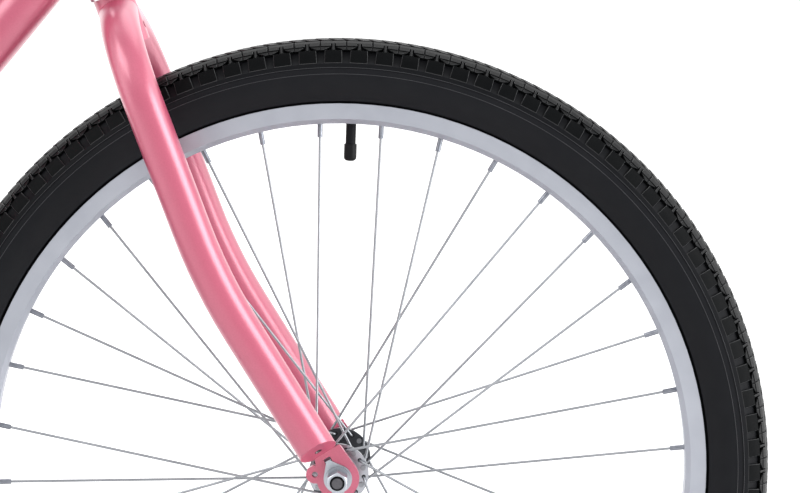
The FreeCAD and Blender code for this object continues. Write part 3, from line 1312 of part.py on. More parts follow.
def spring_path():
    """Left spring's wire, standing on the origin: a straight end, the coils and another straight end."""
    pitch = spring_pitch()
    stub = 2 * SPRING_WIRE_RADIUS
    bend = SPRING_COIL_RADIUS / 3
    base = 2 * stub / 2 + bend
    slope = math.atan2(pitch, 2 * math.pi * SPRING_COIL_RADIUS)

    def on_helix(turn):
        angle = 2 * math.pi * turn
        place = Vector(SPRING_COIL_RADIUS * math.cos(angle), SPRING_COIL_RADIUS * math.sin(angle),
                       base + pitch * turn)
        way = Vector(-math.sin(angle) * math.cos(slope), math.cos(angle) * math.cos(slope), math.sin(slope))
        return place, way

    first, first_way = on_helix(0)
    last, last_way = on_helix(SPRING_TURNS)
    low = Vector(first.x, first.y - bend, 0)
    low_top = low + Vector(0, 0, stub)
    high = Vector(last.x, last.y + bend, last.z + base)
    high_low = high - Vector(0, 0, stub)
    edges = [Part.makeLine(low, low_top)]
    edges += biarc(low_top, Vector(0, 0, 1), first, first_way)
    for quarter in range(4 * SPRING_TURNS):
        start, start_way = on_helix(quarter / 4)
        end, end_way = on_helix((quarter + 1) / 4)
        edges += biarc(start, start_way, end, end_way)
    edges += biarc(last, last_way, high_low, Vector(0, 0, 1))
    edges.append(Part.makeLine(high_low, high))
    return edges, high.z


def make_saddle_springs():
    edges, height = spring_path()
    wire = swept(edges, SPRING_WIRE_RADIUS)
    report_spring_gap(edges)
    wire.translate(Vector(spring_x(), SPRING_HALF_SPACING,
                          saddle_bottom() - SADDLE_PAN_THICKNESS - height - SEAT_GAP))
    return group(both_sides(wire))


def report_spring_gap(edges):
    """Prints the least space between the wire's coils, measured on points along its middle."""
    points = []
    walked = 0.0
    for edge in edges:
        for place in edge.discretize(5)[1:]:
            walked += edge.Length / 4
            points.append((walked, place))
    apart = 6 * SPRING_WIRE_RADIUS
    gaps = [a.sub(b).Length for i, (s, a) in enumerate(points) for t, b in points[i + 1:] if t - s > apart]
    least = min(gaps)
    print("saddle spring: least space between coils %.2f mm" % (least - 2 * SPRING_WIRE_RADIUS))


def saddle_section(x, half_width, bottom, side_bulge, crown):
    """Closed cross-section of the pad at x: flat underside, sides drawn in at the bottom, crowned top."""
    low = half_width * 0.86
    left_low = Vector(x, low, bottom)
    right_low = Vector(x, -low, bottom)
    shoulder_z = bottom + crown * 0.55
    left_top = Vector(x, half_width * 0.84, shoulder_z + crown * 0.18)
    right_top = Vector(x, -half_width * 0.84, shoulder_z + crown * 0.18)
    left_side = Vector(x, low + side_bulge, bottom + crown * 0.36)
    right_side = Vector(x, -low - side_bulge, bottom + crown * 0.36)
    edges = [Part.makeLine(right_low, left_low), Part.Arc(left_low, left_side, left_top).toShape(),
             Part.Arc(left_top, Vector(x, 0, bottom + crown), right_top).toShape(),
             Part.Arc(right_top, right_side, right_low).toShape()]
    return Part.Wire(edges)


def saddle_sections():
    """Share of the length from the nose, share of the half width, and share of the height, nose to tail."""
    return [(0.0, 0.15, 0.55), (0.06, 0.22, 0.80), (0.20, 0.28, 0.90), (0.42, 0.44, 0.86), (0.64, 0.82, 0.90),
            (0.82, 1.0, 1.0), (0.95, 0.90, 0.92), (1.0, 0.74, 0.66)]


def make_saddle_pad():
    wires = []
    for along, wide, tall in saddle_sections():
        x = nose_x() - along * SADDLE_LENGTH
        half = wide * SADDLE_HALF_WIDTH
        wires.append(saddle_section(x, half, saddle_bottom() + SEAT_GAP, half * 0.14 + 1.5,
                                    tall * SADDLE_PAD_HEIGHT))
    return Part.makeLoft(wires, True, False)


def make_saddle_pan():
    """Plate under the pad, with the nose pivot's ears."""
    top = saddle_bottom()
    left = []
    right = []
    for along, wide, tall in saddle_sections()[1:-1]:
        x = nose_x() - along * SADDLE_LENGTH
        half = wide * SADDLE_HALF_WIDTH * 0.80
        left.append(Vector(x, half, top))
        right.append(Vector(x, -half, top))
    plate = polygon_slab(left + right[::-1], Vector(0, 0, -SADDLE_PAN_THICKNESS))
    pivot = nose_pivot()
    inner = NOSE_TUBE_HALF + NOSE_EAR_GAP
    outer = inner + SADDLE_PAN_THICKNESS
    pieces = [plate, rod(pivot - Vector(0, outer, 0), pivot + Vector(0, outer, 0), NOSE_PIN_RADIUS)]
    for side in (1, -1):
        start = pivot + Vector(0, side * inner, 0)
        end = pivot + Vector(0, side * outer, 0)
        pieces.append(rod(start, end, NOSE_EAR_RADIUS))
        pieces.append(Part.makeBox(2 * NOSE_EAR_RADIUS, SADDLE_PAN_THICKNESS,
                                   NOSE_PIVOT_DROP + SADDLE_PAN_THICKNESS,
                                   Vector(pivot.x - NOSE_EAR_RADIUS, min(start.y, end.y), pivot.z)))
    return largest(fused(pieces))


# Crank, chain and pedals

def toothed_disc(teeth, thickness, pitch_radius, y, phase):
    """Sprocket about the Y axis, with a roller seat at each tooth gap; phase is the angle of one gap."""
    outer = pitch_radius + TOOTH_HEIGHT
    disc = Part.makeCylinder(outer, thickness, Vector(0, y - thickness / 2, 0), Y_AXIS)
    seat = ROLLER_RADIUS + ROLLER_GAP
    low = Vector(pitch_radius, y - thickness, 0)
    round_seat = Part.makeCylinder(seat, 2 * thickness, low, Y_AXIS)
    mouth = polygon_slab([low + Vector(0, 0, -seat), low + Vector(0, 0, seat),
                          low + Vector(2 * TOOTH_HEIGHT, 0, seat + 0.75 * TOOTH_HEIGHT),
                          low + Vector(2 * TOOTH_HEIGHT, 0, -seat - 0.75 * TOOTH_HEIGHT)],
                          Vector(0, 2 * thickness, 0))
    gap = round_seat.fuse(mouth)
    gaps = []
    for step in range(teeth):
        copy = gap.copy()
        copy.rotate(ORIGIN, Y_AXIS, -(phase + step * 360.0 / teeth))
        gaps.append(copy)
    return largest(disc.cut(gaps))


def chain_pins():
    """Pin centres of the chain in order, and the angle of one tooth gap on the ring and on the cog."""
    line = REAR_AXLE - BRACKET
    distance = line.Length
    back = Vector(line).normalize()
    up = Vector(-back.z, 0, back.x)
    if up.z < 0:
        up = up * -1
    lean = math.asin((RING_PITCH_RADIUS - COG_PITCH_RADIUS) / distance)
    high = up * math.cos(lean) + back * math.sin(lean)
    low = up * -math.cos(lean) + back * math.sin(lean)
    start = BRACKET + high * RING_PITCH_RADIUS
    arrive = REAR_AXLE + high * COG_PITCH_RADIUS
    run = arrive - start
    heading = Vector(run).normalize()
    pins = [start + heading * (CHAIN_PITCH * step) for step in range(int(run.Length / CHAIN_PITCH) + 1)]
    angle = cog_entry(pins[-1])
    cog_phase = math.degrees(angle)
    step = 2 * math.pi / COG_TEETH
    leave = math.atan2(low.z, low.x) % (2 * math.pi)
    angle = angle % (2 * math.pi)
    while angle <= leave + 0.25 * step:
        pins.append(REAR_AXLE + Vector(COG_PITCH_RADIUS * math.cos(angle), 0,
                                       COG_PITCH_RADIUS * math.sin(angle)))
        angle += step
    ring_start = math.atan2(high.z, high.x)
    ring_step = 2 * math.pi / RING_TEETH
    ring_leave = math.atan2(low.z, low.x) % (2 * math.pi) - 2 * math.pi
    ring_pins = []
    turn = ring_start - ring_step
    while turn >= ring_leave - 0.25 * ring_step:
        ring_pins.append(BRACKET + Vector(RING_PITCH_RADIUS * math.cos(turn), 0,
                                          RING_PITCH_RADIUS * math.sin(turn)))
        turn -= ring_step
    ring_pins.reverse()
    slack = slack_pins(pins[-1], ring_pins[0], len(pins) + len(ring_pins))
    return pins + slack + ring_pins, math.degrees(ring_start), cog_phase


def cog_entry(last):
    """Angle on the cog of the first pin one pitch behind the last pin of the upper run."""
    away = last - REAR_AXLE
    bearing = math.atan2(away.z, away.x)
    reach = away.Length
    spread = (reach ** 2 + COG_PITCH_RADIUS ** 2 - CHAIN_PITCH ** 2) / (2 * reach * COG_PITCH_RADIUS)
    return bearing + math.acos(spread)


def slack_pins(first, last, others):
    """Pins of the lower run, hanging in a shallow arc of whole links so that the chain closes."""
    chord = last - first
    count = math.ceil(chord.Length / CHAIN_PITCH)
    if (others + count - 1) % 2:
        count += 1
    low, high = 1e-6, 2 * math.pi / count
    for _ in range(80):
        turn = (low + high) / 2
        if CHAIN_PITCH * math.sin(count * turn / 2) / math.sin(turn / 2) > chord.Length:
            low = turn
        else:
            high = turn
    heading = math.atan2(chord.z, chord.x) - (count - 1) * turn / 2
    pins = []
    place = first
    for _ in range(count - 1):
        place = place + Vector(CHAIN_PITCH * math.cos(heading), 0, CHAIN_PITCH * math.sin(heading))
        pins.append(place)
        heading += turn
    return pins


def link_plate(y, thickness):
    """Side plate with round ends on two pins, one pitch apart along X."""
    r = LINK_PLATE_RADIUS
    edges = [Part.makeLine(Vector(0, y, r), Vector(CHAIN_PITCH, y, r)),
             Part.Arc(Vector(CHAIN_PITCH, y, r), Vector(CHAIN_PITCH + r, y, 0),
                      Vector(CHAIN_PITCH, y, -r)).toShape(),
             Part.makeLine(Vector(CHAIN_PITCH, y, -r), Vector(0, y, -r)),
             Part.Arc(Vector(0, y, -r), Vector(-r, y, 0), Vector(0, y, r)).toShape()]
    return slab(Part.Wire(edges), Vector(0, thickness, 0))


def make_link(inner):
    """Inner link with its two rollers, or outer link with its two pins."""
    roller_half = ROLLER_WIDTH / 2
    if inner:
        plate_y = roller_half
        round_radius, half = ROLLER_RADIUS, roller_half + 0.1
    else:
        plate_y = roller_half + LINK_PLATE_THICKNESS + LINK_PLATE_GAP
        round_radius, half = CHAIN_PIN_RADIUS, plate_y + LINK_PLATE_THICKNESS + 0.6
    pieces = [link_plate(plate_y, LINK_PLATE_THICKNESS),
              link_plate(-plate_y - LINK_PLATE_THICKNESS, LINK_PLATE_THICKNESS)]
    for x in (0, CHAIN_PITCH):
        pieces.append(rod(Vector(x, -half, 0), Vector(x, half, 0), round_radius))
    link = fused(pieces)
    if not inner:
        return link
    reach = roller_half + 2 * LINK_PLATE_THICKNESS
    bore_radius = CHAIN_PIN_RADIUS + LINK_PLATE_GAP
    bores = [rod(Vector(x, -reach, 0), Vector(x, reach, 0), bore_radius) for x in (0, CHAIN_PITCH)]
    return link.cut(bores).Solids[0]


def make_chain():
    pins = chain_pins()[0]
    links = [make_link(False), make_link(True)]
    solids = []
    for index, pin in enumerate(pins):
        following = pins[(index + 1) % len(pins)]
        way = following - pin
        link = links[index % 2].copy()
        link.rotate(ORIGIN, Y_AXIS, -math.degrees(math.atan2(way.z, way.x)))
        link.translate(pin + Vector(0, -CHAIN_LINE, 0))
        solids.append(link)
    return group(solids)


def make_chainring():
    phase = chain_pins()[1]
    ring = toothed_disc(RING_TEETH, RING_THICKNESS, RING_PITCH_RADIUS, -CHAIN_LINE, phase)
    cuts = [rod(Vector(0, -CHAIN_LINE - 9, 0), Vector(0, -CHAIN_LINE + 9, 0),
                CRANK_SPINDLE_RADIUS + SEAT_GAP)]
    for step in range(RING_WINDOWS):
        centre = about_y(RING_WINDOW_CIRCLE, 360.0 * (step + 0.5) / RING_WINDOWS, -CHAIN_LINE - 9)
        cuts.append(rod(centre, centre + Vector(0, 18, 0), RING_WINDOW_RADIUS))
    return placed(largest(ring.cut(cuts)), CRANK)


def make_crank():
    """One forged bar: right arm, spindle and left arm, with an eye for each pedal."""
    right_way = about_y(CRANK_LENGTH, CRANK_ANGLE, 0)
    pieces = [rod(Vector(0, -CHAIN_LINE - 2, 0), Vector(0, CHAIN_LINE + 2, 0), CRANK_SPINDLE_RADIUS)]
    for side, way in ((-1, right_way), (1, right_way * -1)):
        y = side * CRANK_ARM_OFFSET
        eye = way + Vector(0, y, 0)
        path = bent_path([Vector(0, side * (CHAIN_LINE - 4), 0), Vector(0, y, 0), eye], [CRANK_BEND_RADIUS])
        pieces.append(swept(path, CRANK_ARM_RADIUS))
        half = Vector(0, CRANK_EYE_WIDTH / 2, 0)
        pieces.append(rod(eye - half, eye + half, CRANK_EYE_RADIUS))
    body = fused(pieces)
    holes = []
    for side, way in ((-1, right_way), (1, right_way * -1)):
        eye = way + Vector(0, side * CRANK_ARM_OFFSET, 0)
        holes.append(rod(eye - Vector(0, 20, 0), eye + Vector(0, 20, 0), PEDAL_THREAD_RADIUS + SEAT_GAP))
        face = eye + Vector(0, side * CRANK_EYE_WIDTH / 2, 0)
        holes.append(rod(face, face + Vector(0, side * CRANK_ARM_RADIUS, 0), CRANK_EYE_RADIUS))
    return placed(body.cut(holes).Solids[0], CRANK)


def pedal_start():
    return CRANK_ARM_OFFSET + CRANK_EYE_WIDTH / 2 + PEDAL_GAP


def pedal_place(side):
    way = about_y(CRANK_LENGTH, CRANK_ANGLE, 0) * (-side)
    return BRACKET + way


def make_pedal_spindles():
    solids = []
    for side in (1, -1):
        place = pedal_place(side)
        eye_in = place + Vector(0, side * (CRANK_ARM_OFFSET - CRANK_EYE_WIDTH / 2), 0)
        eye_out = place + Vector(0, side * (CRANK_ARM_OFFSET + CRANK_EYE_WIDTH / 2), 0)
        collar = place + Vector(0, side * (pedal_start() - 0.5), 0)
        end = place + Vector(0, side * (pedal_start() + PEDAL_LENGTH - 3), 0)
        eye_face = eye_out + Vector(0, side * SEAT_GAP, 0)
        solids.append(fused([rod(eye_in, eye_face, PEDAL_THREAD_RADIUS),
                             rod(eye_face, collar, PEDAL_THREAD_RADIUS + 2),
                             rod(collar, end, PEDAL_SPINDLE_RADIUS)]))
    return group(solids)


def make_pedal(side):
    """Block pedal: a barrel on the spindle, two tread blocks and two end plates."""
    start = pedal_start()
    bar_x = PEDAL_WIDTH / 2 - PEDAL_TREAD_WIDTH / 2
    along = Vector(0, PEDAL_LENGTH, 0)
    barrel = rod(Vector(0, start, 0), Vector(0, start, 0) + along, PEDAL_BARREL_RADIUS)
    pieces = [barrel]
    for sign in (1, -1):
        corner = Vector(sign * bar_x - PEDAL_TREAD_WIDTH / 2, start, -PEDAL_HEIGHT / 2)
        block = Part.makeBox(PEDAL_TREAD_WIDTH, PEDAL_LENGTH, PEDAL_HEIGHT, corner)
        long_edges = [edge for edge in block.Edges if abs(edge.tangentAt(edge.FirstParameter).y) > 0.9]
        pieces.append(block.makeFillet(4.0, long_edges))
    for low in (start, start + PEDAL_LENGTH - PEDAL_PLATE_THICKNESS):
        pieces.append(Part.makeBox(PEDAL_WIDTH * 0.7, PEDAL_PLATE_THICKNESS, PEDAL_HEIGHT * 0.7,
                                   Vector(-PEDAL_WIDTH * 0.35, low, -PEDAL_HEIGHT * 0.35)))
    body = fused(pieces)
    bore = rod(Vector(0, start - 1, 0), Vector(0, start + PEDAL_LENGTH - 3 + RUNNING_GAP, 0),
               PEDAL_SPINDLE_RADIUS + RUNNING_GAP)
    body = largest(body.cut(bore))
    if side < 0:
        body = mirrored_y(body)
    body.translate(pedal_place(side))
    return body


def make_bottom_bracket_cups():
    half = BRACKET_WIDTH / 2
    skirt = BRACKET_BORE_RADIUS - SEAT_GAP
    bore = CRANK_SPINDLE_RADIUS + 1.5
    track = bb_ball_circle() + BB_BALL_RADIUS + SEAT_GAP
    outline = [(bore, half + BB_CUP_FLANGE), (BRACKET_RADIUS, half + BB_CUP_FLANGE),
               (BRACKET_RADIUS, half + SEAT_GAP), (skirt, half + SEAT_GAP), (skirt, half - BB_CUP_SKIRT),
               (track, half - BB_CUP_SKIRT), (track, half), (bore, half)]
    return placed(group(both_sides(turned(outline, Y_AXIS))), CRANK)


def bb_ball_circle():
    return CRANK_SPINDLE_RADIUS + BALL_GAP + BB_BALL_RADIUS


def make_crank_bearings():
    height = BRACKET_WIDTH / 2 - BB_BALL_RADIUS - SEAT_GAP
    balls = balls_about(Y_AXIS, BB_BALL_COUNT, bb_ball_circle() + SEAT_GAP / 2, height, BB_BALL_RADIUS)
    return placed(group([solid for ball in balls for solid in both_sides(ball)]), CRANK)


# Rear hub

def make_rear_hub_shell():
    middle = REAR_FLANGE_SPACING / 2
    half_flange = FLANGE_THICKNESS / 2
    half = [(REAR_BARREL_RADIUS, middle - half_flange), (REAR_FLANGE_RADIUS, middle - half_flange),
            (REAR_FLANGE_RADIUS, middle + half_flange), (REAR_BARREL_RADIUS, middle + half_flange),
            (REAR_BARREL_RADIUS, REAR_HUB_END), (REAR_HUB_BORE_RADIUS, REAR_HUB_END)]
    return pierced_hub(mirrored_outline(half), REAR_SPOKE_CIRCLE, REAR_FLANGE_SPACING)


def make_rear_sprocket():
    """Driver that screws the brake on or turns the hub, with the cog on its outer end."""
    phase = chain_pins()[2]
    cog = toothed_disc(COG_TEETH, COG_THICKNESS, COG_PITCH_RADIUS, -CHAIN_LINE, phase)
    driver = rod(Vector(0, -CHAIN_LINE - COG_THICKNESS, 0), Vector(0, -REAR_CONE_START, 0), DRIVER_RADIUS)
    bore = rod(Vector(0, -CHAIN_LINE - 9, 0), Vector(0, 9, 0), REAR_CONE_RADIUS + BALL_GAP)
    return placed(largest(cog.fuse(driver).cut(bore)), REAR_WHEEL)


def make_rear_axle():
    end = REAR_OVER_LOCKNUT / 2 + REAR_AXLE_STANDOUT
    return placed(rod(Vector(0, -end, 0), Vector(0, end, 0), REAR_AXLE_RADIUS), REAR_WHEEL)


def brake_arm_face():
    """Outer face of the brake arm, which just clears the band around the chain stay."""
    return strap_place().y - STAY_RADIUS - STRAP_WALL - 0.6


def make_rear_cones():
    """Right cone with its locknut; left brake cone, arm seat and locknut."""
    face = REAR_OVER_LOCKNUT / 2 - SEAT_GAP
    bore = REAR_AXLE_RADIUS + SEAT_GAP
    start = REAR_CONE_START
    right = turned([(bore, -start), (REAR_CONE_RADIUS, -start), (REAR_CONE_RADIUS, -face), (bore, -face)],
                   Y_AXIS)
    arm_low = brake_arm_face() - BRAKE_ARM_THICKNESS - SEAT_GAP
    arm_high = brake_arm_face() + SEAT_GAP
    flange = REAR_HUB_BORE_RADIUS - BRAKE_SHOE_GAP
    left = turned([(bore, start), (REAR_CONE_RADIUS, start), (REAR_CONE_RADIUS, arm_low - BRAKE_FLANGE_WIDTH),
                   (flange, arm_low - BRAKE_FLANGE_WIDTH), (flange, arm_low), (REAR_CONE_RADIUS, arm_low),
                   (REAR_CONE_RADIUS, arm_high), (REAR_CONE_RADIUS + 1, arm_high),
                   (REAR_CONE_RADIUS + 1, face), (bore, face)], Y_AXIS)
    return placed(group([right, left]), REAR_WHEEL)


def make_brake_shoes():
    """Two half-round shoes inside the hub shell, around the left cone."""
    outer = REAR_HUB_BORE_RADIUS - BRAKE_SHOE_GAP
    end = brake_arm_face() - BRAKE_ARM_THICKNESS - BRAKE_FLANGE_WIDTH - 2 * SEAT_GAP
    ring = ring_y(end - BRAKE_SHOE_LENGTH, end, outer, REAR_CONE_RADIUS + SEAT_GAP)
    split = Part.makeBox(4 * outer, 4 * outer, BRAKE_SHOE_SPLIT,
                         Vector(-2 * outer, -2 * outer, -BRAKE_SHOE_SPLIT / 2))
    return placed(group(ring.cut(split).Solids), REAR_WHEEL)


def stay_line():
    """Straight rear run of the left chain stay: a point beside the axle and the way towards the bracket."""
    points = chain_stay_path()
    return points[-1], (points[-2] - points[-1]).normalize()


def strap_place():
    """Centre of the brake strap on the left chain stay."""
    end, way = stay_line()
    return end + way * (BRAKE_ARM_LENGTH - STAY_AXLE_DISTANCE)


def make_brake_arm():
    face = brake_arm_face()
    centre = strap_place()
    tip = Vector(centre.x - REAR_AXLE.x, 0, centre.z - REAR_AXLE.z)
    plate = teardrop(face - BRAKE_ARM_THICKNESS, BRAKE_ARM_THICKNESS, REAR_CONE_RADIUS + 7, tip,
                     BRAKE_ARM_HALF_WIDTH)
    bore = rod(Vector(0, 0, 0), Vector(0, face + 9, 0), REAR_CONE_RADIUS + SEAT_GAP)
    bolt = rod(Vector(tip.x, 0, tip.z), Vector(tip.x, face + 9, tip.z), STRAP_BOLT_RADIUS + SEAT_GAP)
    return placed(plate.cut([bore, bolt]).Solids[0], REAR_WHEEL)


def stay_band(centre, wall, width):
    """Band around the left chain stay."""
    way = stay_line()[1]
    half = way * (width / 2)
    return pipe_piece(centre - half, centre + half, STAY_RADIUS + SEAT_GAP + wall, STAY_RADIUS + SEAT_GAP)


def make_brake_arm_strap():
    """Band around the chain stay with a tab that holds the brake arm's end."""
    centre = strap_place()
    band = stay_band(centre, STRAP_WALL, STRAP_WIDTH)
    arm_face = brake_arm_face() + SEAT_GAP
    tab_low = Vector(centre.x, arm_face, centre.z)
    tab = rod(tab_low, Vector(centre.x, centre.y - STAY_RADIUS - 0.4, centre.z), STRAP_WIDTH / 2)
    stay = rod(centre - stay_line()[1] * 40, centre + stay_line()[1] * 40, STAY_RADIUS + SEAT_GAP)
    bolt = rod(Vector(centre.x, 0, centre.z), centre, STRAP_BOLT_RADIUS + SEAT_GAP)
    return largest(band.fuse(tab).cut([stay, bolt]))


def make_rear_axle_nuts():
    start = REAR_OVER_LOCKNUT / 2 + REAR_DROPOUT_THICKNESS + SEAT_GAP
    nuts = [nut_with_flange(side * start, REAR_AXLE_RADIUS, REAR_NUT_HEIGHT, side) for side in (1, -1)]
    return placed(group(nuts), REAR_WHEEL)


# Chain guard, kickstand and bolts

def guard_y():
    return -CHAIN_LINE - CHAIN_HALF_WIDTH - GUARD_CHAIN_GAP


def guard_outline(y):
    """Edge of the guard's side plate: over the upper run and round the front of the chainring."""
    top = RING_PITCH_RADIUS + GUARD_TOP_GAP
    low = top - GUARD_DEPTH
    front = about_y(top, 0.0, y)
    crest = about_y(top, 90.0, y)
    front_in = about_y(low, 0.0, y)
    crest_in = about_y(low, 90.0, y)
    rear_top = Vector(-GUARD_REAR_BACK, y, top - 6.0)
    rear_low = Vector(-GUARD_REAR_BACK, y, top - 6.0 - GUARD_DEPTH * 0.6)
    return front, crest, rear_top, rear_low, crest_in, front_in


def guard_wire(y):
    front, crest, rear_top, rear_low, crest_in, front_in = guard_outline(y)
    top = RING_PITCH_RADIUS + GUARD_TOP_GAP
    nose = Vector((front.x + front_in.x) / 2, y, -GUARD_DEPTH / 2)
    tail = Vector(rear_top.x - GUARD_DEPTH * 0.3, y, (rear_top.z + rear_low.z) / 2)
    return Part.Wire([Part.Arc(front, about_y(top, 45.0, y), crest).toShape(), Part.makeLine(crest, rear_top),
                      Part.Arc(rear_top, tail, rear_low).toShape(), Part.makeLine(rear_low, crest_in),
                      Part.Arc(crest_in, about_y(top - GUARD_DEPTH, 45.0, y), front_in).toShape(),
                      Part.Arc(front_in, nose, front).toShape()])


def guard_clip_place():
    """Where the guard's clip meets the right chain stay."""
    end, way = stay_line()
    place = end + way * 150.0
    return Vector(place.x, -place.y, place.z), Vector(way.x, -way.y, way.z)


def make_chain_guard():
    y = guard_y()
    plate = slab(guard_wire(y), Vector(0, -GUARD_THICKNESS, 0))
    front, crest, rear_top, rear_low, crest_in, front_in = guard_outline(y)
    top = RING_PITCH_RADIUS + GUARD_TOP_GAP
    inward = Vector(0, GUARD_LIP, 0)
    down = Vector(0, 0, -GUARD_THICKNESS)
    flat_lip = polygon_slab([crest, rear_top, rear_top + down, crest + down], inward)
    bow = Part.makeCylinder(top, GUARD_LIP, Vector(0, y, 0), Y_AXIS)
    bow = bow.cut(Part.makeCylinder(top - GUARD_THICKNESS, GUARD_LIP, Vector(0, y, 0), Y_AXIS))
    quarter = Part.makeBox(2 * top, 4 * GUARD_LIP, 2 * top, Vector(0, y - GUARD_LIP, 0))
    body = fused([plate, flat_lip, bow.common(quarter)])
    body = placed(body, CRANK)
    return largest(body.fuse([guard_seat_tab(), guard_stay_clip()]).cut(guard_cutters()))


def guard_seat_tab():
    """Tab from the guard's top to the right side of the seat tube."""
    top = RING_PITCH_RADIUS + GUARD_TOP_GAP
    x = BRACKET.x + SEAT_UP.x / SEAT_UP.z * top
    start = guard_y() + GUARD_LIP - GUARD_THICKNESS
    z = BRACKET.z + top - GUARD_THICKNESS - 0.4
    return Part.makeBox(16, -start, GUARD_THICKNESS, Vector(x - 8, start, z))


def guard_stay_clip():
    """Clip around the right chain stay with a strip up to the guard's side plate."""
    place, way = guard_clip_place()
    half = way * 7.0
    band = rod(place - half, place + half, STAY_RADIUS + SEAT_GAP + STRAP_WALL)
    y = guard_y() - GUARD_THICKNESS
    top = BRACKET.z + RING_PITCH_RADIUS + GUARD_TOP_GAP - 14.0
    strip = Part.makeBox(14, GUARD_THICKNESS, top - place.z, Vector(place.x - 7, y, place.z))
    return band.fuse(strip)


def guard_cutters():
    """Seat tube and chain stay, which the guard's tab and clip fit around."""
    place, way = guard_clip_place()
    stay = rod(place - way * 30, place + way * 30, STAY_RADIUS + SEAT_GAP)
    return [seat_tube_envelope(), stay]


def kickstand_clamp_place():
    end, way = stay_line()
    full = (REAR_AXLE - BRACKET).Length - STAY_AXLE_DISTANCE
    return end + way * (full - KICKSTAND_BACK)


def kickstand_pivot():
    return kickstand_clamp_place() + Vector(0, KICKSTAND_PIVOT_OUT, -KICKSTAND_PIVOT_DROP)


def kickstand_foot_point():
    """Centre of the foot's underside, on the ground as the leaning bicycle meets it."""
    pivot = kickstand_pivot()
    y = pivot.y + KICKSTAND_FOOT_OUT
    lean = math.radians(LEAN_ANGLE)
    return Vector(pivot.x + KICKSTAND_FOOT_FORWARD, y, y * math.tan(lean) - lean_lift() / math.cos(lean))


def kickstand_ways():
    """Directions of the leg when down and when stowed, and the hinge axis that turns one into the other."""
    down = (kickstand_foot_point() - kickstand_pivot()).normalize()
    drop = math.radians(KICKSTAND_STOWED_DROP)
    stowed = Vector(-math.cos(drop), 0.10, -math.sin(drop)).normalize()
    axis = down.cross(stowed).normalize()
    return down, stowed, axis


def make_kickstand_bracket():
    """Clamp on the left chain stay with the pivot pin the leg turns on."""
    centre = kickstand_clamp_place()
    pivot = kickstand_pivot()
    axis = kickstand_ways()[2]
    band = rod(centre - stay_line()[1] * 16, centre + stay_line()[1] * 16, STAY_RADIUS + SEAT_GAP + 4)
    inner = pivot - axis * (axis.y / abs(axis.y)) * (KICKSTAND_EYE_WIDTH / 2 + 0.4)
    outward = axis * (axis.y / abs(axis.y))
    boss = rod(inner - outward * 14, inner, KICKSTAND_EYE_RADIUS)
    pin = rod(inner - outward, pivot + outward * (KICKSTAND_EYE_WIDTH / 2 + 0.4), KICKSTAND_PIVOT_RADIUS)
    head_start = pivot + outward * (KICKSTAND_EYE_WIDTH / 2 + 0.4)
    head = rod(head_start, head_start + outward * 3, KICKSTAND_PIVOT_RADIUS + 3)
    stay = rod(centre - stay_line()[1] * 60, centre + stay_line()[1] * 60, STAY_RADIUS + SEAT_GAP)
    return largest(fused([band, boss, pin, head]).cut(stay))


def make_kickstand_leg():
    pivot = kickstand_pivot()
    down, stowed, axis = kickstand_ways()
    half = axis * (KICKSTAND_EYE_WIDTH / 2)
    eye = rod(pivot - half, pivot + half, KICKSTAND_EYE_RADIUS)
    length = (kickstand_foot_point() - pivot).Length
    leg = rod(pivot + down * 2, pivot + down * (length - KICKSTAND_FOOT_LENGTH * 0.35), KICKSTAND_RADIUS)
    bore = rod(pivot - half * 2, pivot + half * 2, KICKSTAND_PIVOT_RADIUS + RUNNING_GAP)
    return largest(eye.fuse(leg).cut(bore).removeSplitter())


def make_kickstand_foot():
    """Rubber foot, cut level with the ground under the leaning bicycle."""
    pivot = kickstand_pivot()
    down = kickstand_ways()[0]
    foot = kickstand_foot_point()
    length = (foot - pivot).Length
    start = pivot + down * (length - KICKSTAND_FOOT_LENGTH)
    block = rod(start, foot + down * KICKSTAND_FOOT_RADIUS, KICKSTAND_FOOT_RADIUS)
    size = 4 * KICKSTAND_FOOT_LENGTH
    ground = Part.makeBox(size, size, size, Vector(-size / 2, -size / 2, -size))
    ground.rotate(ORIGIN, Vector(1, 0, 0), LEAN_ANGLE)
    ground.translate(foot)
    socket = rod(start - down, pivot + down * (length - KICKSTAND_FOOT_LENGTH * 0.35 + SEAT_GAP),
                 KICKSTAND_RADIUS + SEAT_GAP)
    return largest(block.cut([ground, socket]))


def make_frame_bolts():
    """Seat collar bolt and brake strap bolt."""
    x, z = collar_bolt_place()
    half = 3 * SEAT_SLIT + SEAT_GAP
    shaft = rod(Vector(x, -half - 6, z), Vector(x, half + 1, z), SEAT_BOLT_RADIUS)
    head = hexagon(Vector(x, half, z), Vector(0, 5, 0), 10)
    nut = hexagon(Vector(x, -half, z), Vector(0, -5, 0), 10)
    collar_bolt = placed(fused([shaft, head, nut]), SEAT)
    centre = strap_place()
    face = brake_arm_face() - BRAKE_ARM_THICKNESS - SEAT_GAP
    start = Vector(centre.x, face, centre.z)
    strap_head = hexagon(start, Vector(0, -4, 0), 8)
    strap_shaft = rod(start - Vector(0, 1, 0), Vector(centre.x, centre.y - STAY_RADIUS - 0.6, centre.z),
                      STRAP_BOLT_RADIUS)
    return group([collar_bolt, fused([strap_head, strap_shaft])])


# The whole bicycle

def front_wheel_nodes():
    circle, spacing = FRONT_SPOKE_CIRCLE, FRONT_FLANGE_SPACING
    nodes = {
        "front_tyre": make_tyre(),
        "front_inner_tube": make_inner_tube(),
        "front_valve_cap": make_valve_cap(),
        "front_rim": make_rim(circle, spacing),
        "front_spokes": make_spokes(circle, spacing),
        "front_nipples": make_nipples(circle, spacing),
        "front_hub_shell": make_front_hub_shell(),
        "front_hub_bearings": make_front_hub_bearings(),
        "front_axle": make_front_axle(),
        "front_cones": make_front_cones(),
        "front_axle_nuts": make_front_axle_nuts(),
        "front_tab_washers": make_front_tab_washers(),
    }
    return {name: placed(shape, FRONT_WHEEL) for name, shape in nodes.items()}


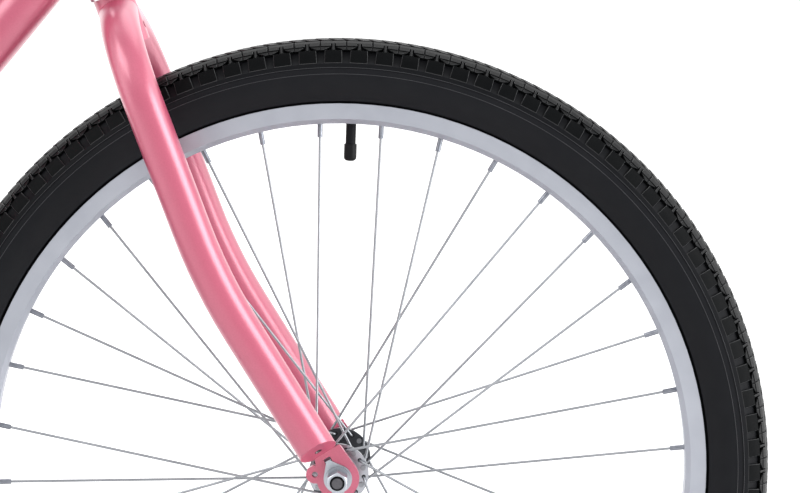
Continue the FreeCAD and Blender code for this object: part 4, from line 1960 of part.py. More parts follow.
def rear_wheel_nodes():
    circle, spacing = REAR_SPOKE_CIRCLE, REAR_FLANGE_SPACING
    nodes = {
        "rear_tyre": make_tyre(),
        "rear_inner_tube": make_inner_tube(),
        "rear_valve_cap": make_valve_cap(),
        "rear_rim": make_rim(circle, spacing),
        "rear_spokes": make_spokes(circle, spacing),
        "rear_nipples": make_nipples(circle, spacing),
        "rear_hub_shell": make_rear_hub_shell(),
    }
    return {name: placed(shape, REAR_WHEEL) for name, shape in nodes.items()}


def steering_nodes():
    left_grip = make_left_grip()
    return {
        "fork": make_fork(),
        "headset_races": make_headset_races(),
        "headset_bearings": make_headset_bearings(),
        "stem": make_stem(),
        "stem_bolts": make_stem_bolts(),
        "handlebar": make_handlebar(),
        "left_grip": left_grip,
        "right_grip": mirrored_y(left_grip),
    }


def frame_nodes():
    return {
        "head_tube": make_head_tube(),
        "top_tube": make_top_tube(),
        "down_tube": make_down_tube(),
        "seat_tube": make_seat_tube(),
        "bottom_bracket_shell": make_bottom_bracket_shell(),
        "rear_stays": make_rear_stays(),
        "bearing_cups": group(make_headset_cups().Solids + make_bottom_bracket_cups().Solids),
        "crank_bearings": make_crank_bearings(),
        "seat_collar": make_seat_collar(),
        "frame_bolts": make_frame_bolts(),
        "chain_guard": make_chain_guard(),
        "chain": make_chain(),
        "kickstand_bracket": make_kickstand_bracket(),
        "rear_axle": make_rear_axle(),
        "rear_cones": make_rear_cones(),
        "rear_axle_nuts": make_rear_axle_nuts(),
        "brake_arm": make_brake_arm(),
        "brake_arm_strap": make_brake_arm_strap(),
        "brake_shoes": make_brake_shoes(),
    }


def drive_nodes():
    return {
        "rear_sprocket": make_rear_sprocket(),
        "crank": make_crank(),
        "chainring": make_chainring(),
        "pedal_spindles": make_pedal_spindles(),
        "left_pedal": make_pedal(1),
        "right_pedal": make_pedal(-1),
        "kickstand_leg": make_kickstand_leg(),
        "kickstand_foot": make_kickstand_foot(),
    }


def seat_nodes():
    return {
        "seat_post": make_seat_post(),
        "saddle_clamp": make_saddle_clamp(),
        "saddle_rails": make_saddle_rails(),
        "saddle_springs": make_saddle_springs(),
        "saddle_pan": make_saddle_pan(),
        "saddle_pad": make_saddle_pad(),
    }


def lean_lift():
    """How far the round tyres would sink into the ground if the bicycle only turned about its ground line."""
    return TYRE_SECTION_RADIUS * (1 - math.cos(math.radians(LEAN_ANGLE)))


def lean_placement():
    """Leans the bicycle to its left on the ground and centres it between the ends of its grips."""
    turn = FreeCAD.Rotation(Vector(1, 0, 0), -LEAN_ANGLE)
    left = placed(make_left_grip(), FreeCAD.Placement(ORIGIN, turn)).BoundBox
    right = placed(mirrored_y(make_left_grip()), FreeCAD.Placement(ORIGIN, turn)).BoundBox
    return FreeCAD.Placement(Vector(0, -(left.YMax + right.YMin) / 2, lean_lift()), turn)


def main():
    os.makedirs("parts", exist_ok=True)
    lean = lean_placement()
    for nodes in (frame_nodes, steering_nodes, front_wheel_nodes, rear_wheel_nodes, drive_nodes, seat_nodes):
        for name, shape in nodes().items():
            placed(shape, lean).exportStep("parts/" + name + ".step")


if __name__ == "__main__":
    main()
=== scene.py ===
import json
import math

import bpy
from mathutils import Matrix, Vector


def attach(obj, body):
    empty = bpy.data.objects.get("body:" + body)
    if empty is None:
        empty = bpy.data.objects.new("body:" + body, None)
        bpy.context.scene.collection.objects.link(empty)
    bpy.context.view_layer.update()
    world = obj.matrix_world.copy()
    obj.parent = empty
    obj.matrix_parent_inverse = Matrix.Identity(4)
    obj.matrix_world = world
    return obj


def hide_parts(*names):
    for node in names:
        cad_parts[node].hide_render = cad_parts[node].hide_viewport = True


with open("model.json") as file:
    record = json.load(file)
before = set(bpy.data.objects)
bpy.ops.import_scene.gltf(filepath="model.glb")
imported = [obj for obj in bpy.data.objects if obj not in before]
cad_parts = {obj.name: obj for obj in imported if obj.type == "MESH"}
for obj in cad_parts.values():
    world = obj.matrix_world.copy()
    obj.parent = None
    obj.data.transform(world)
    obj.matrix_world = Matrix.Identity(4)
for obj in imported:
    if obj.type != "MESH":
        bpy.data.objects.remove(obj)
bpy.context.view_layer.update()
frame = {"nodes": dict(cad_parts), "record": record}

MM = 0.001

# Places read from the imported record: the wheels' axles and the bicycle's lean
JOINTS = {joint["name"]: joint for joint in frame["record"]["behaviour"]["joints"]}
SIDEWAYS = Vector(JOINTS["front_wheel_spin"]["axis"])
FORWARD = Vector((1, 0, 0))
UPRIGHT = FORWARD.cross(SIDEWAYS)

# Camera, measured from the front axle in the bicycle's own upright directions, in millimetres
CAMERA_OFFSET = (81.31, -2962.77, 576.01)
CAMERA_AHEAD = (-0.011364, 0.990832, -0.134622)
CAMERA_RIGHT = (0.999934, 0.011468, 0.0)
CAMERA_UP = (-0.001544, 0.134613, 0.990897)
CAMERA_LENS = 172.41
CAMERA_SENSOR = 36.0
CAMERA_FAR_END = 100.0

# Tyre section, in millimetres and degrees from the crown
TYRE_MIDDLE_RADIUS = 309.1
TREAD_TOP = 27.4
BLOCK_PITCHES = 103
BLOCK_PHASE = 0.94
TYRE_SEGMENTS = 3 * BLOCK_PITCHES
SHOULDER_END = 77.0
RIDGES = ((74.8, 76.1), (85.2, 86.6))
KNOB_FOOT = 24.3
KNOB_BEVEL = 0.35
KNOB_FLARE = 0.6
SHARP_ANGLE = 28
# Finishes of the tyre's faces; ridge and edge carry painted highlights, block and crown painted shade
SIDEWALL, SHOULDER, RIDGE, BLOCK, CROWN, EDGE = range(6)

# Half of the carcass outline: degrees from the crown and distance from the middle of the section
CARCASS = [
    (0.0, 25.00), (15.0, 25.00), (30.0, 24.90), (43.0, 24.50), (52.0, 24.50), (60.0, 25.10),
    (66.5, 26.50), (68.5, 27.05), (74.9, 27.15), (75.4, 27.50), (76.0, 27.50), (76.5, 26.65),
    (80.0, 26.55), (85.3, 26.50), (85.6, 26.80), (86.5, 26.80), (86.8, 26.50), (95.0, 26.45),
    (105.0, 26.40), (115.0, 26.35), (125.0, 26.25), (135.0, 26.15), (140.0, 26.10), (142.0, 25.30),
    (146.0, 23.40), (152.0, 23.40), (157.0, 26.00),
]

# One pitch of the tread on one side. Each knob is rows of degrees from the crown, with the first and
# last place in the pitch. The shoulder block comes first, then the small knobs of the crown.
SHOULDER_BLOCK = [(43.6, -0.325, 0.325), (51.0, -0.335, 0.335), (59.5, -0.345, 0.345), (68.0, -0.35, 0.35)]
CROWN_KNOBS = [
    [(26.6, -0.045, 0.045), (42.9, -0.045, 0.045)],
    [(36.2, 0.11, 0.47), (42.6, 0.35, 0.47)],
    [(36.2, -0.47, -0.11), (42.6, -0.47, -0.35)],
    [(17.5, -0.47, 0.47), (26.0, -0.47, 0.47)],
    [(26.0, 0.09, 0.47), (33.6, 0.09, 0.47)],
    [(26.0, -0.47, -0.09), (33.6, -0.47, -0.09)],
    [(17.5, 0.486, 0.514), (42.6, 0.486, 0.514)],
    [(1.2, -0.12, 0.20), (15.0, -0.44, -0.12)],
    [(1.2, 0.38, 0.70), (15.0, 0.06, 0.38)],
]

# Front hub and fork ends, in millimetres and degrees
SPOKE_HOLES = 18
SPOKE_HOLE_CIRCLE = 19.6
SPOKE_HOLE_SHADE_REACH = 1.6
FIRST_SPOKE_HOLE = 3.06
# Half width of the painted shade between the flanges
HUB_SHADE_REACH = 33.5
AXLE_BARE_RADIUS = 4.1
DRAIN_HOLE = (-15.21, 65.7, 23.95)
# Reach of the painted shade round the drain hole's middle
DRAIN_SHADE_REACH = 3.3

# Saddle pad, in metres
PAD_VOXEL = 0.005
PAD_TRAVEL = 0.005
PAD_FLAT_BAND = 0.004
PAD_PRESSURE = 4.0
PAD_STIFFNESS = 15
PAD_FRAMES = 20

# Floor and surroundings, in metres and strengths of light
FLOOR_SIZE = 60.0
FLOOR_DROP = 0.0005
FLOOR_GREY = 0.75
FLOOR_ROUGHNESS = 0.9
FLOOR_GLOW = 0.92
SHADOW_GLOW = 0.70
SHADOW_REACH = 1.45
SHADOW_FULL_SHARE = 0.6
WORLD_LIGHT = 0.12

# Shared by the materials; fineness is against the scale of the colour's drift
NOISE_DETAIL = 3.0
METAL_SHEEN_FINENESS = 2
METAL_SCRATCH_FINENESS = 8
RUBBER_SHEEN_FINENESS = 3
RUBBER_GRAIN_FINENESS = 20
RAMP_START = 0.3
RAMP_END = 0.7
# Painted shade in the hub's spoke holes; the same dark also tones the front axle's thread
HOLE_SHADE_AND_THREAD_DARK = (0.02, 0.02, 0.022)
# Painted shade inside the fork's drain holes
DRAIN_SHADE_COLOUR = (0.03, 0.012, 0.015)

# Places of the colours among the mix node's sockets, where names repeat
MIX_FIRST_COLOUR = 6
MIX_SECOND_COLOUR = 7
MIX_COLOUR_RESULT = 2


def upright(vector):
    """A direction in the bicycle's own upright axes, turned into the leaning frame."""
    x, y, z = vector
    return FORWARD * x + SIDEWAYS * y + UPRIGHT * z


def wheel_matrix(joint):
    """Placement of a wheel's own axes: X forward, Y along the axle, Z up, with the axle at the origin."""
    turn = Matrix((FORWARD, SIDEWAYS, UPRIGHT)).transposed().to_4x4()
    return Matrix.Translation(Vector(JOINTS[joint]["pos_m"])) @ turn


def link_object(name, data):
    """A new object in the scene."""
    made = bpy.data.objects.new(name, data)
    bpy.context.scene.collection.objects.link(made)
    return made


# Shader helpers

def new_material(name):
    material = bpy.data.materials.new(name)
    material.use_nodes = True
    tree = material.node_tree
    return material, tree, tree.nodes["Principled BSDF"]


def add_node(tree, kind, **values):
    """A new node, with each value set on the property or the input of that name."""
    node = tree.nodes.new(kind)
    for key, value in values.items():
        if hasattr(node, key):
            setattr(node, key, value)
        else:
            node.inputs[key.replace("_", " ").title()].default_value = value
    return node


def noise(tree, scale, detail=NOISE_DETAIL):
    place = add_node(tree, "ShaderNodeTexCoord")
    texture = add_node(tree, "ShaderNodeTexNoise", scale=scale, detail=detail)
    tree.links.new(place.outputs["Object"], texture.inputs["Vector"])
    return texture


def vary_colour(tree, shader, low, high, scale):
    """Base colour that drifts between two close colours."""
    texture = noise(tree, scale)
    ramp = add_node(tree, "ShaderNodeValToRGB")
    start, end = ramp.color_ramp.elements
    start.position = RAMP_START
    start.color = (*low, 1)
    end.position = RAMP_END
    end.color = (*high, 1)
    tree.links.new(texture.outputs["Fac"], ramp.inputs["Fac"])
    tree.links.new(ramp.outputs["Color"], shader.inputs["Base Color"])


def vary_roughness(tree, shader, low, high, scale):
    texture = noise(tree, scale)
    span = add_node(tree, "ShaderNodeMapRange", to_min=low, to_max=high)
    tree.links.new(texture.outputs["Fac"], span.inputs["Value"])
    tree.links.new(span.outputs["Result"], shader.inputs["Roughness"])


def add_bump(tree, shader, height, strength, distance):
    bump = add_node(tree, "ShaderNodeBump", strength=strength, distance=distance)
    tree.links.new(height, bump.inputs["Height"])
    tree.links.new(bump.outputs["Normal"], shader.inputs["Normal"])


def math_node(tree, operation, first, second=None):
    """Output of one sum; each value is a number or another node's output."""
    node = add_node(tree, "ShaderNodeMath", operation=operation)
    for socket, value in zip(node.inputs, (first, second)):
        if isinstance(value, (int, float)):
            socket.default_value = value
        elif value is not None:
            tree.links.new(value, socket)
    return node.outputs[0]


def distance(tree, first, second):
    """Length of the way made of two steps at right angles."""
    squares = [math_node(tree, "MULTIPLY", side, side) for side in (first, second)]
    return math_node(tree, "SQRT", math_node(tree, "ADD", *squares))


def place_from_axle(tree):
    """Place on the object in the front wheel's own axes, from the front axle, in metres."""
    place = add_node(tree, "ShaderNodeTexCoord")
    turned = add_node(tree, "ShaderNodeMapping", vector_type="TEXTURE")
    frame_of_wheel = wheel_matrix("front_wheel_spin")
    turned.inputs["Location"].default_value = frame_of_wheel.translation
    turned.inputs["Rotation"].default_value = frame_of_wheel.to_euler()
    tree.links.new(place.outputs["Object"], turned.inputs["Vector"])
    split = add_node(tree, "ShaderNodeSeparateXYZ")
    tree.links.new(turned.outputs["Vector"], split.inputs["Vector"])
    return split.outputs["X"], split.outputs["Y"], split.outputs["Z"]


def darken(tree, shader, mask, colour):
    """Lays a dark colour over the base colour where the mask is one."""
    blend = add_node(tree, "ShaderNodeMix", data_type="RGBA")
    base = shader.inputs["Base Color"].links[0].from_socket
    tree.links.new(mask, blend.inputs["Factor"])
    tree.links.new(base, blend.inputs[MIX_FIRST_COLOUR])
    blend.inputs[MIX_SECOND_COLOUR].default_value = (*colour, 1)
    tree.links.new(blend.outputs[MIX_COLOUR_RESULT], shader.inputs["Base Color"])


# Paint

def pearl_paint(name):
    """Gloss pink lacquer with fine pearl flakes."""
    material, tree, shader = new_material(name)
    vary_colour(tree, shader, low=(0.60, 0.102, 0.184), high=(0.64, 0.114, 0.202), scale=900.0)
    vary_roughness(tree, shader, low=0.30, high=0.40, scale=1400.0)
    shader.inputs["Metallic"].default_value = 0.15
    shader.inputs["Specular IOR Level"].default_value = 0.4
    shader.inputs["Coat Weight"].default_value = 1.0
    shader.inputs["Coat Roughness"].default_value = 0.28
    shader.inputs["Coat IOR"].default_value = 1.6
    flakes = noise(tree, scale=2500.0, detail=1.0)
    add_bump(tree, shader, flakes.outputs["Fac"], strength=0.03, distance=0.0004)
    return material, tree, shader


def frame_paint():
    return pearl_paint("pearl_pink_paint")[0]


def fork_paint():
    """The frame's paint, with painted shade inside the drain hole at each leg's end."""
    material, tree, shader = pearl_paint("fork_paint")
    x, y, z = place_from_axle(tree)
    hole_x, hole_y, hole_z = (value * MM for value in DRAIN_HOLE)
    ahead = math_node(tree, "SUBTRACT", x, hole_x)
    above = math_node(tree, "SUBTRACT", z, hole_z)
    along = math_node(tree, "SUBTRACT", math_node(tree, "ABSOLUTE", y), hole_y)
    away = distance(tree, distance(tree, ahead, above), along)
    # Painted shade: the paint turns dark within reach of the drain hole's middle
    hole = math_node(tree, "LESS_THAN", away, DRAIN_SHADE_REACH * MM)
    darken(tree, shader, hole, DRAIN_SHADE_COLOUR)
    return material


# Metals

def metal(name, low, high, rough, scale, bump=0.0):
    """Bare metal between two close colours and two roughnesses, with fine scratches where bump is set."""
    material, tree, shader = new_material(name)
    vary_colour(tree, shader, low, high, scale)
    vary_roughness(tree, shader, *rough, scale * METAL_SHEEN_FINENESS)
    shader.inputs["Metallic"].default_value = 1.0
    if bump:
        scratches = noise(tree, scale * METAL_SCRATCH_FINENESS, detail=2.0)
        add_bump(tree, shader, scratches.outputs["Fac"], bump, distance=0.0003)
    return material


def bright_chrome():
    low = (0.60, 0.60, 0.62)
    high = (0.66, 0.66, 0.68)
    return metal("bright_chrome", low, high, rough=(0.06, 0.14), scale=30.0)


def rim_alloy():
    low = (0.36, 0.375, 0.42)
    high = (0.40, 0.415, 0.46)
    return metal("rim_alloy", low, high, rough=(0.40, 0.48), scale=40.0, bump=0.02)


def hub_alloy():
    low = (0.36, 0.37, 0.40)
    high = (0.42, 0.43, 0.46)
    return metal("hub_alloy", low, high, rough=(0.28, 0.38), scale=60.0)


def zinc_steel():
    low = (0.36, 0.38, 0.42)
    high = (0.44, 0.46, 0.50)
    return metal("zinc_steel", low, high, rough=(0.24, 0.34), scale=90.0, bump=0.02)


def spoke_steel():
    low = (0.25, 0.26, 0.28)
    high = (0.31, 0.32, 0.34)
    return metal("spoke_steel", low, high, rough=(0.34, 0.44), scale=90.0)


def nipple_nickel():
    low = (0.17, 0.18, 0.21)
    high = (0.25, 0.26, 0.29)
    return metal("nipple_nickel", low, high, rough=(0.26, 0.36), scale=300.0)


def rear_axle_steel():
    low = (0.11, 0.108, 0.115)
    high = (0.15, 0.147, 0.155)
    return metal("axle_steel", low, high, rough=(0.26, 0.36), scale=400.0, bump=0.05)


def dark_steel():
    low = (0.06, 0.06, 0.065)
    high = (0.10, 0.10, 0.105)
    return metal("dark_steel", low, high, rough=(0.34, 0.48), scale=80.0, bump=0.08)


def front_axle_steel():
    """Grey steel, darker in its thread."""
    low = (0.085, 0.083, 0.092)
    high = (0.12, 0.117, 0.127)
    material = metal("front_axle_steel", low, high, rough=(0.28, 0.38), scale=400.0, bump=0.05)
    tree = material.node_tree
    x, y, z = place_from_axle(tree)
    thread = math_node(tree, "GREATER_THAN", distance(tree, x, z), AXLE_BARE_RADIUS * MM)
    darken(tree, tree.nodes["Principled BSDF"], thread, HOLE_SHADE_AND_THREAD_DARK)
    return material


def front_hub_alloy():
    """Polished outside, with painted shade between the flanges and in the spoke holes."""
    material, tree, shader = new_material("front_hub_alloy")
    vary_roughness(tree, shader, low=0.28, high=0.38, scale=60.0)
    shader.inputs["Metallic"].default_value = 1.0
    x, y, z = place_from_axle(tree)
    outside = math_node(tree, "GREATER_THAN", math_node(tree, "ABSOLUTE", y), HUB_SHADE_REACH * MM)
    ramp = add_node(tree, "ShaderNodeValToRGB")
    # Painted shade: between the flanges the hub takes a far darker colour than outside them
    dull, polished = ramp.color_ramp.elements
    dull.color = (0.10, 0.105, 0.115, 1)
    polished.color = (0.40, 0.415, 0.45, 1)
    tree.links.new(outside, ramp.inputs["Fac"])
    tree.links.new(ramp.outputs["Color"], shader.inputs["Base Color"])
    # Painted shade in the spoke holes
    darken(tree, shader, spoke_hole_shade_mask(tree, x, y, z), HOLE_SHADE_AND_THREAD_DARK)
    return material


def spoke_hole_shade_mask(tree, x, y, z):
    """One inside the flanges' spoke holes, where shade is painted. The right flange's holes lie half a step
    from the left one's.
    """
    turn = math_node(tree, "MULTIPLY", math_node(tree, "ARCTAN2", z, x), SPOKE_HOLES / (2 * math.pi))
    half_step = math_node(tree, "MULTIPLY", math_node(tree, "LESS_THAN", y, 0.0), 0.5)
    start = 0.5 - FIRST_SPOKE_HOLE * SPOKE_HOLES / 360
    phase = math_node(tree, "ADD", math_node(tree, "ADD", turn, half_step), start)
    step = math_node(tree, "SUBTRACT", math_node(tree, "FRACT", phase), 0.5)
    arc = math_node(tree, "MULTIPLY", step, 2 * math.pi * SPOKE_HOLE_CIRCLE * MM / SPOKE_HOLES)
    out = math_node(tree, "SUBTRACT", distance(tree, x, z), SPOKE_HOLE_CIRCLE * MM)
    return math_node(tree, "LESS_THAN", distance(tree, arc, out), SPOKE_HOLE_SHADE_REACH * MM)


# Rubber and vinyl

def rubber(name, low, high, rough, gloss, scale, bump):
    """Dull black between two close colours and two roughnesses, with a fine grain."""
    material, tree, shader = new_material(name)
    vary_colour(tree, shader, low, high, scale)
    vary_roughness(tree, shader, *rough, scale * RUBBER_SHEEN_FINENESS)
    shader.inputs["Specular IOR Level"].default_value = gloss
    grain = noise(tree, scale * RUBBER_GRAIN_FINENESS, detail=4.0)
    add_bump(tree, shader, grain.outputs["Fac"], bump, distance=0.0005)
    return material


def tyre_rubber():
    low = (0.007, 0.0075, 0.0095)
    high = (0.009, 0.0095, 0.0115)
    return rubber("tyre_rubber", low, high, rough=(0.45, 0.55), gloss=0.12, scale=50.0, bump=0.02)


def shoulder_rubber():
    low = (0.007, 0.0075, 0.009)
    high = (0.009, 0.0095, 0.011)
    return rubber("shoulder_rubber", low, high, rough=(0.36, 0.46), gloss=0.06, scale=50.0, bump=0.02)


# Painted highlight: lighter rubber along the ridge lines
def ridge_highlight_rubber():
    low = (0.03, 0.031, 0.035)
    high = (0.04, 0.041, 0.046)
    return rubber("ridge_highlight_rubber", low, high, rough=(0.30, 0.40), gloss=0.4, scale=50.0, bump=0.02)


# Painted shade: the shoulder blocks darker than the rest of the tyre
def block_shade_rubber():
    low = (0.0045, 0.005, 0.0055)
    high = (0.006, 0.0065, 0.007)
    return rubber("block_shade_rubber", low, high, rough=(0.36, 0.46), gloss=0.03, scale=90.0, bump=0.03)


# Painted shade: the crown knobs darker than the rest of the tyre
def crown_shade_rubber():
    low = (0.0035, 0.004, 0.0045)
    high = (0.005, 0.0055, 0.006)
    return rubber("crown_shade_rubber", low, high, rough=(0.28, 0.38), gloss=0.12, scale=90.0, bump=0.03)


# Painted highlight: lighter rubber on the bevels round the knobs' tops
def edge_highlight_rubber():
    low = (0.022, 0.023, 0.025)
    high = (0.03, 0.031, 0.033)
    return rubber("edge_highlight_rubber", low, high, rough=(0.30, 0.40), gloss=0.4, scale=90.0, bump=0.03)


def black_rubber():
    low = (0.007, 0.007, 0.0085)
    high = (0.010, 0.010, 0.012)
    return rubber("black_rubber", low, high, rough=(0.48, 0.62), gloss=0.10, scale=50.0, bump=0.05)


def black_plastic():
    low = (0.008, 0.008, 0.009)
    high = (0.014, 0.014, 0.015)
    return rubber("black_plastic", low, high, rough=(0.30, 0.42), gloss=0.10, scale=60.0, bump=0.05)


def saddle_vinyl():
    """Soft black saddle cover with a fine pebbled grain."""
    material, tree, shader = new_material("saddle_vinyl")
    vary_colour(tree, shader, low=(0.012, 0.012, 0.013), high=(0.020, 0.020, 0.021), scale=60.0)
    vary_roughness(tree, shader, low=0.42, high=0.55, scale=90.0)
    place = add_node(tree, "ShaderNodeTexCoord")
    grain = add_node(tree, "ShaderNodeTexVoronoi", scale=700.0)
    tree.links.new(place.outputs["Object"], grain.inputs["Vector"])
    add_bump(tree, shader, grain.outputs["Distance"], strength=0.25, distance=0.0004)
    return material


def paint_nodes():
    """Gives every CAD node its material, by its slot or by its own name. Returns the materials by slot."""
    by_slot = {
        "pink_paint": frame_paint(),
        "bright_chrome": bright_chrome(),
        "rim_alloy": rim_alloy(),
        "hub_alloy": hub_alloy(),
        "zinc_steel": zinc_steel(),
        "dark_steel": dark_steel(),
        "tyre_rubber": tyre_rubber(),
        "black_rubber": black_rubber(),
        "black_plastic": black_plastic(),
        "black_vinyl": saddle_vinyl(),
    }
    by_node = {
        "front_axle": front_axle_steel(),
        "rear_axle": rear_axle_steel(),
        "front_hub_shell": front_hub_alloy(),
        "fork": fork_paint(),
    }
    by_node["front_spokes"] = by_node["rear_spokes"] = spoke_steel()
    by_node["front_nipples"] = by_node["rear_nipples"] = nipple_nickel()
    slots = {entry["node"]: entry["material_slot"] for entry in frame["record"]["subparts"]}
    for name, node in frame["nodes"].items():
        node.data.materials.clear()
        node.data.materials.append(by_node.get(name, by_slot[slots[name]]))
    return by_slot


# Tyres

def ring_point(radius, degrees, turn):
    """Point of the tyre, from its distance to the middle of the section, the angle from the crown and
    the wheel's turn."""
    angle = math.radians(degrees)
    out = (TYRE_MIDDLE_RADIUS + radius * math.cos(angle)) * MM
    return (out * math.cos(turn), radius * math.sin(angle) * MM, out * math.sin(turn))


def carcass_finish(first, last):
    """Which finish a strip of the carcass has, from the angles of its two edges: sidewall, shoulder, or the
    ridges' lighter rubber of painted highlight.
    """
    low, high = sorted((abs(first), abs(last)))
    if any(start < low and high < end for start, end in RIDGES):
        return RIDGE
    return SHOULDER if high < SHOULDER_END else SIDEWALL


def carcass_mesh(verts, faces, finishes):
    outline = [(-angle, radius) for angle, radius in reversed(CARCASS[1:])] + CARCASS
    count = len(outline)
    for segment in range(TYRE_SEGMENTS):
        turn = 2 * math.pi * segment / TYRE_SEGMENTS
        verts.extend(ring_point(radius, angle, turn) for angle, radius in outline)
    for segment in range(TYRE_SEGMENTS):
        here = segment * count
        there = (segment + 1) % TYRE_SEGMENTS * count
        for step in range(count):
            following = (step + 1) % count
            faces.append((here + step, there + step, there + following, here + following))
            finishes.append(carcass_finish(outline[step][0], outline[following][0]))


def knob_points(rows, centre, side):
    """Points of one knob: a flared foot, a shoulder just under the top, and a top drawn in by the bevel."""
    pitch = 2 * math.pi / BLOCK_PITCHES
    reach = TYRE_MIDDLE_RADIUS + TREAD_TOP * math.cos(math.radians(rows[0][0]))
    inset_along = KNOB_BEVEL / (reach * pitch)
    inset_across = math.degrees(KNOB_BEVEL / TREAD_TOP)
    levels = ((KNOB_FOOT, -KNOB_FLARE), (TREAD_TOP - KNOB_BEVEL, 0.0), (TREAD_TOP, 1.0))
    points = []
    for radius, inset in levels:
        for index, (angle, first, last) in enumerate(rows):
            if index == 0:
                angle += inset * inset_across
            if index == len(rows) - 1:
                angle -= inset * inset_across
            for place in (first + inset * inset_along, last - inset * inset_along):
                points.append(ring_point(radius, side * angle, centre + place * pitch))
    return points


def knob_mesh(verts, faces, finishes, rows, centre, side, finish):
    """One knob: its sides, the bevel round its top, and its top."""
    count = len(rows)
    start = len(verts)
    verts.extend(knob_points(rows, centre, side))
    rim = [2 * row for row in range(count)] + [2 * row + 1 for row in reversed(range(count))]
    # The bevel takes the edge finish, a painted highlight
    for level, level_finish in enumerate((finish, EDGE)):
        low = start + level * 2 * count
        high = low + 2 * count
        for here, following in zip(rim, rim[1:] + rim[:1]):
            quad = (low + here, low + following, high + following, high + here)
            faces.append(quad if side > 0 else quad[::-1])
            finishes.append(level_finish)
    top = start + 4 * count
    for row in range(count - 1):
        quad = (top + 2 * row, top + 2 * row + 2, top + 2 * row + 3, top + 2 * row + 1)
        faces.append(quad if side > 0 else quad[::-1])
        finishes.append(finish)


def tyre_mesh():
    verts, faces, finishes = [], [], []
    carcass_mesh(verts, faces, finishes)
    knobs = [(SHOULDER_BLOCK, BLOCK)] + [(rows, CROWN) for rows in CROWN_KNOBS]
    for pitch in range(BLOCK_PITCHES):
        centre = 2 * math.pi * (pitch + BLOCK_PHASE) / BLOCK_PITCHES
        for rows, finish in knobs:
            knob_mesh(verts, faces, finishes, rows, centre, 1, finish)
            knob_mesh(verts, faces, finishes, rows, centre, -1, finish)
    mesh = bpy.data.meshes.new("tyre")
    mesh.from_pydata(verts, [], faces)
    mesh.polygons.foreach_set("use_smooth", [True] * len(mesh.polygons))
    mesh.polygons.foreach_set("material_index", finishes)
    mesh.set_sharp_from_angle(angle=math.radians(SHARP_ANGLE))
    mesh.update()
    return mesh


def make_tyres(by_slot):
    """Both tyres with their tread. The materials follow the order of the finishes' numbers."""
    mesh = tyre_mesh()
    mesh.materials.append(by_slot["tyre_rubber"])
    # Lighter rubber on the ridges and bevels is painted highlight; darker rubber on the blocks and crown
    # knobs is painted shade
    for make_finish in (shoulder_rubber, ridge_highlight_rubber, block_shade_rubber, crown_shade_rubber, edge_highlight_rubber):
        mesh.materials.append(make_finish())
    for end in ("front", "rear"):
        tyre = link_object(end + "_tyre_tread", mesh)
        tyre.matrix_world = wheel_matrix(end + "_wheel_spin")
        bpy.context.view_layer.update()
        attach(tyre, end + "_wheel")
        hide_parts(end + "_tyre")


# Saddle

def apply_modifiers(piece):
    """Replaces the piece's mesh with what its modifiers make of it."""
    graph = bpy.context.evaluated_depsgraph_get()
    made = bpy.data.meshes.new_from_object(piece.evaluated_get(graph))
    piece.modifiers.clear()
    piece.data = made


def swell(pad):
    """Short cloth run that blows the pad up a little."""
    cloth = pad.modifiers.new("cloth", "CLOTH")
    cloth.settings.use_pressure = True
    cloth.settings.uniform_pressure_force = PAD_PRESSURE
    cloth.settings.effector_weights.gravity = 0.0
    cloth.settings.tension_stiffness = PAD_STIFFNESS
    cloth.settings.compression_stiffness = PAD_STIFFNESS
    scene = bpy.context.scene
    for step in range(1, PAD_FRAMES + 1):
        scene.frame_set(step)
    apply_modifiers(pad)
    scene.frame_set(1)


def cap_travel(pad, start):
    """Holds each point of the swollen pad near where it started, and the underside where it was."""
    low = min(point.z for point in start)
    for vertex, point in zip(pad.data.vertices, start):
        travel = vertex.co - point
        if travel.length > PAD_TRAVEL:
            travel *= PAD_TRAVEL / travel.length
        if point.z < low + PAD_FLAT_BAND:
            travel = Vector((0, 0, 0))
        vertex.co = point + travel


def make_saddle(by_slot):
    """Saddle pad swollen by a short cloth run from the pad's solid."""
    pad = link_object("saddle_cover", frame["nodes"]["saddle_pad"].data.copy())
    bpy.context.view_layer.objects.active = pad
    remesh = pad.modifiers.new("remesh", "REMESH")
    remesh.mode = "VOXEL"
    remesh.voxel_size = PAD_VOXEL
    apply_modifiers(pad)
    start = [vertex.co.copy() for vertex in pad.data.vertices]
    swell(pad)
    cap_travel(pad, start)
    smooth = pad.modifiers.new("smooth", "SUBSURF")
    smooth.levels = 1
    smooth.render_levels = 1
    apply_modifiers(pad)
    pad.data.polygons.foreach_set("use_smooth", [True] * len(pad.data.polygons))
    pad.data.materials.clear()
    pad.data.materials.append(by_slot["black_vinyl"])
    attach(pad, "saddle")
    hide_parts("saddle_pad")


# Camera, floor and lights

def make_camera():
    axle = Vector(JOINTS["front_wheel_spin"]["pos_m"])
    data = bpy.data.cameras.new("camera")
    data.sensor_fit = "HORIZONTAL"
    data.sensor_width = CAMERA_SENSOR
    data.lens = CAMERA_LENS
    data.clip_end = CAMERA_FAR_END
    camera = link_object("camera", data)
    turn = Matrix((upright(CAMERA_RIGHT), upright(CAMERA_UP), -upright(CAMERA_AHEAD))).transposed()
    camera.matrix_world = Matrix.Translation(axle + upright(CAMERA_OFFSET) * MM) @ turn.to_4x4()
    bpy.context.scene.camera = camera


def seen_or_mirrored(tree):
    """One for what the camera sees, by itself or in a mirror or through glass."""
    rays = add_node(tree, "ShaderNodeLightPath").outputs
    mirrored = math_node(tree, "MAXIMUM", rays["Is Glossy Ray"], rays["Is Transmission Ray"])
    return math_node(tree, "MAXIMUM", rays["Is Camera Ray"], mirrored)


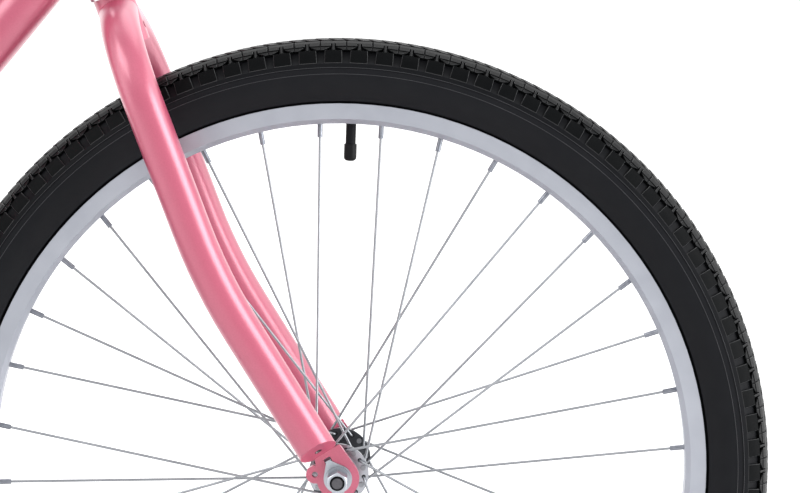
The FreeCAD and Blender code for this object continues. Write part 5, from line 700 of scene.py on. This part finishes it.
def floor_glow(tree):
    """Light that makes the floor white where it is seen, and less of it under the bicycle for its shadow."""
    place = add_node(tree, "ShaderNodeTexCoord")
    away = add_node(tree, "ShaderNodeVectorMath", operation="LENGTH")
    tree.links.new(place.outputs["Object"], away.inputs[0])
    level = add_node(tree, "ShaderNodeMapRange", interpolation_type="SMOOTHSTEP")
    level.inputs["From Min"].default_value = SHADOW_REACH * SHADOW_FULL_SHARE
    level.inputs["From Max"].default_value = SHADOW_REACH
    level.inputs["To Min"].default_value = SHADOW_GLOW
    level.inputs["To Max"].default_value = FLOOR_GLOW
    tree.links.new(away.outputs["Value"], level.inputs["Value"])
    glow = add_node(tree, "ShaderNodeEmission")
    strength = math_node(tree, "MULTIPLY", seen_or_mirrored(tree), level.outputs["Result"])
    tree.links.new(strength, glow.inputs["Strength"])
    return glow


def make_floor():
    """Pale floor that looks white but keeps a trace of the contact shadow."""
    half = FLOOR_SIZE / 2
    corners = [(-half, -half, 0), (half, -half, 0), (half, half, 0), (-half, half, 0)]
    mesh = bpy.data.meshes.new("floor")
    mesh.from_pydata(corners, [], [(0, 1, 2, 3)])
    floor = link_object("floor", mesh)
    floor.location.z = -FLOOR_DROP
    material, tree, shader = new_material("floor")
    shader.inputs["Base Color"].default_value = (FLOOR_GREY, FLOOR_GREY, FLOOR_GREY, 1)
    shader.inputs["Roughness"].default_value = FLOOR_ROUGHNESS
    both = add_node(tree, "ShaderNodeAddShader")
    tree.links.new(shader.outputs["BSDF"], both.inputs[0])
    tree.links.new(floor_glow(tree).outputs["Emission"], both.inputs[1])
    tree.links.new(both.outputs["Shader"], tree.nodes["Material Output"].inputs["Surface"])
    mesh.materials.append(material)


def make_world():
    """White surroundings where they are seen or mirrored, and a soft light from all around elsewhere."""
    world = bpy.data.worlds.new("studio")
    bpy.context.scene.world = world
    world.use_nodes = True
    tree = world.node_tree
    background = tree.nodes["Background"]
    background.inputs["Color"].default_value = (1, 1, 1, 1)
    span = add_node(tree, "ShaderNodeMapRange", to_min=WORLD_LIGHT, to_max=1.0)
    tree.links.new(seen_or_mirrored(tree), span.inputs["Value"])
    tree.links.new(span.outputs["Result"], background.inputs["Strength"])


def add_light(name, place, target, size, power):
    """Flat lamp at a place, facing a target, with its width and height in metres and its power in watts."""
    data = bpy.data.lights.new(name, "AREA")
    data.shape = "RECTANGLE"
    data.size, data.size_y = size
    data.energy = power
    light = link_object(name, data)
    light.visible_camera = False
    light.location = place
    light.rotation_euler = (Vector(target) - Vector(place)).to_track_quat("-Z", "Y").to_euler()


def make_lights():
    add_light("top_light", place=(0.5, 1.2, 3.0), target=(0.5, 0.0, 0.6), size=(4.0, 2.2), power=42)
    add_light("left_wall", place=(-2.6, -0.4, 0.9), target=(0.4, 0.0, 0.5), size=(3.6, 2.0), power=30)
    add_light("left_panel", place=(-1.6, -1.35, 2.5), target=(0.2, 0.0, 0.7), size=(2.2, 1.6), power=44)
    add_light("right_wall", place=(2.8, 0.2, 1.0), target=(0.5, 0.0, 0.5), size=(2.6, 2.4), power=26)
    add_light("right_strip", place=(2.9, -1.0, 0.9), target=(0.5, 0.0, 0.5), size=(1.5, 2.2), power=60)
    add_light("sky_panel", place=(0.6, -2.0, 3.0), target=(0.35, 0.0, 0.7), size=(3.0, 2.4), power=9)
    add_light("back_wall", place=(0.5, 3.6, 1.6), target=(0.5, 0.0, 0.6), size=(6.0, 3.2), power=30)


bpy.context.scene.view_settings.view_transform = "Standard"
slot_materials = paint_nodes()
make_tyres(slot_materials)
make_saddle(slot_materials)
make_camera()
make_floor()
make_world()
make_lights()
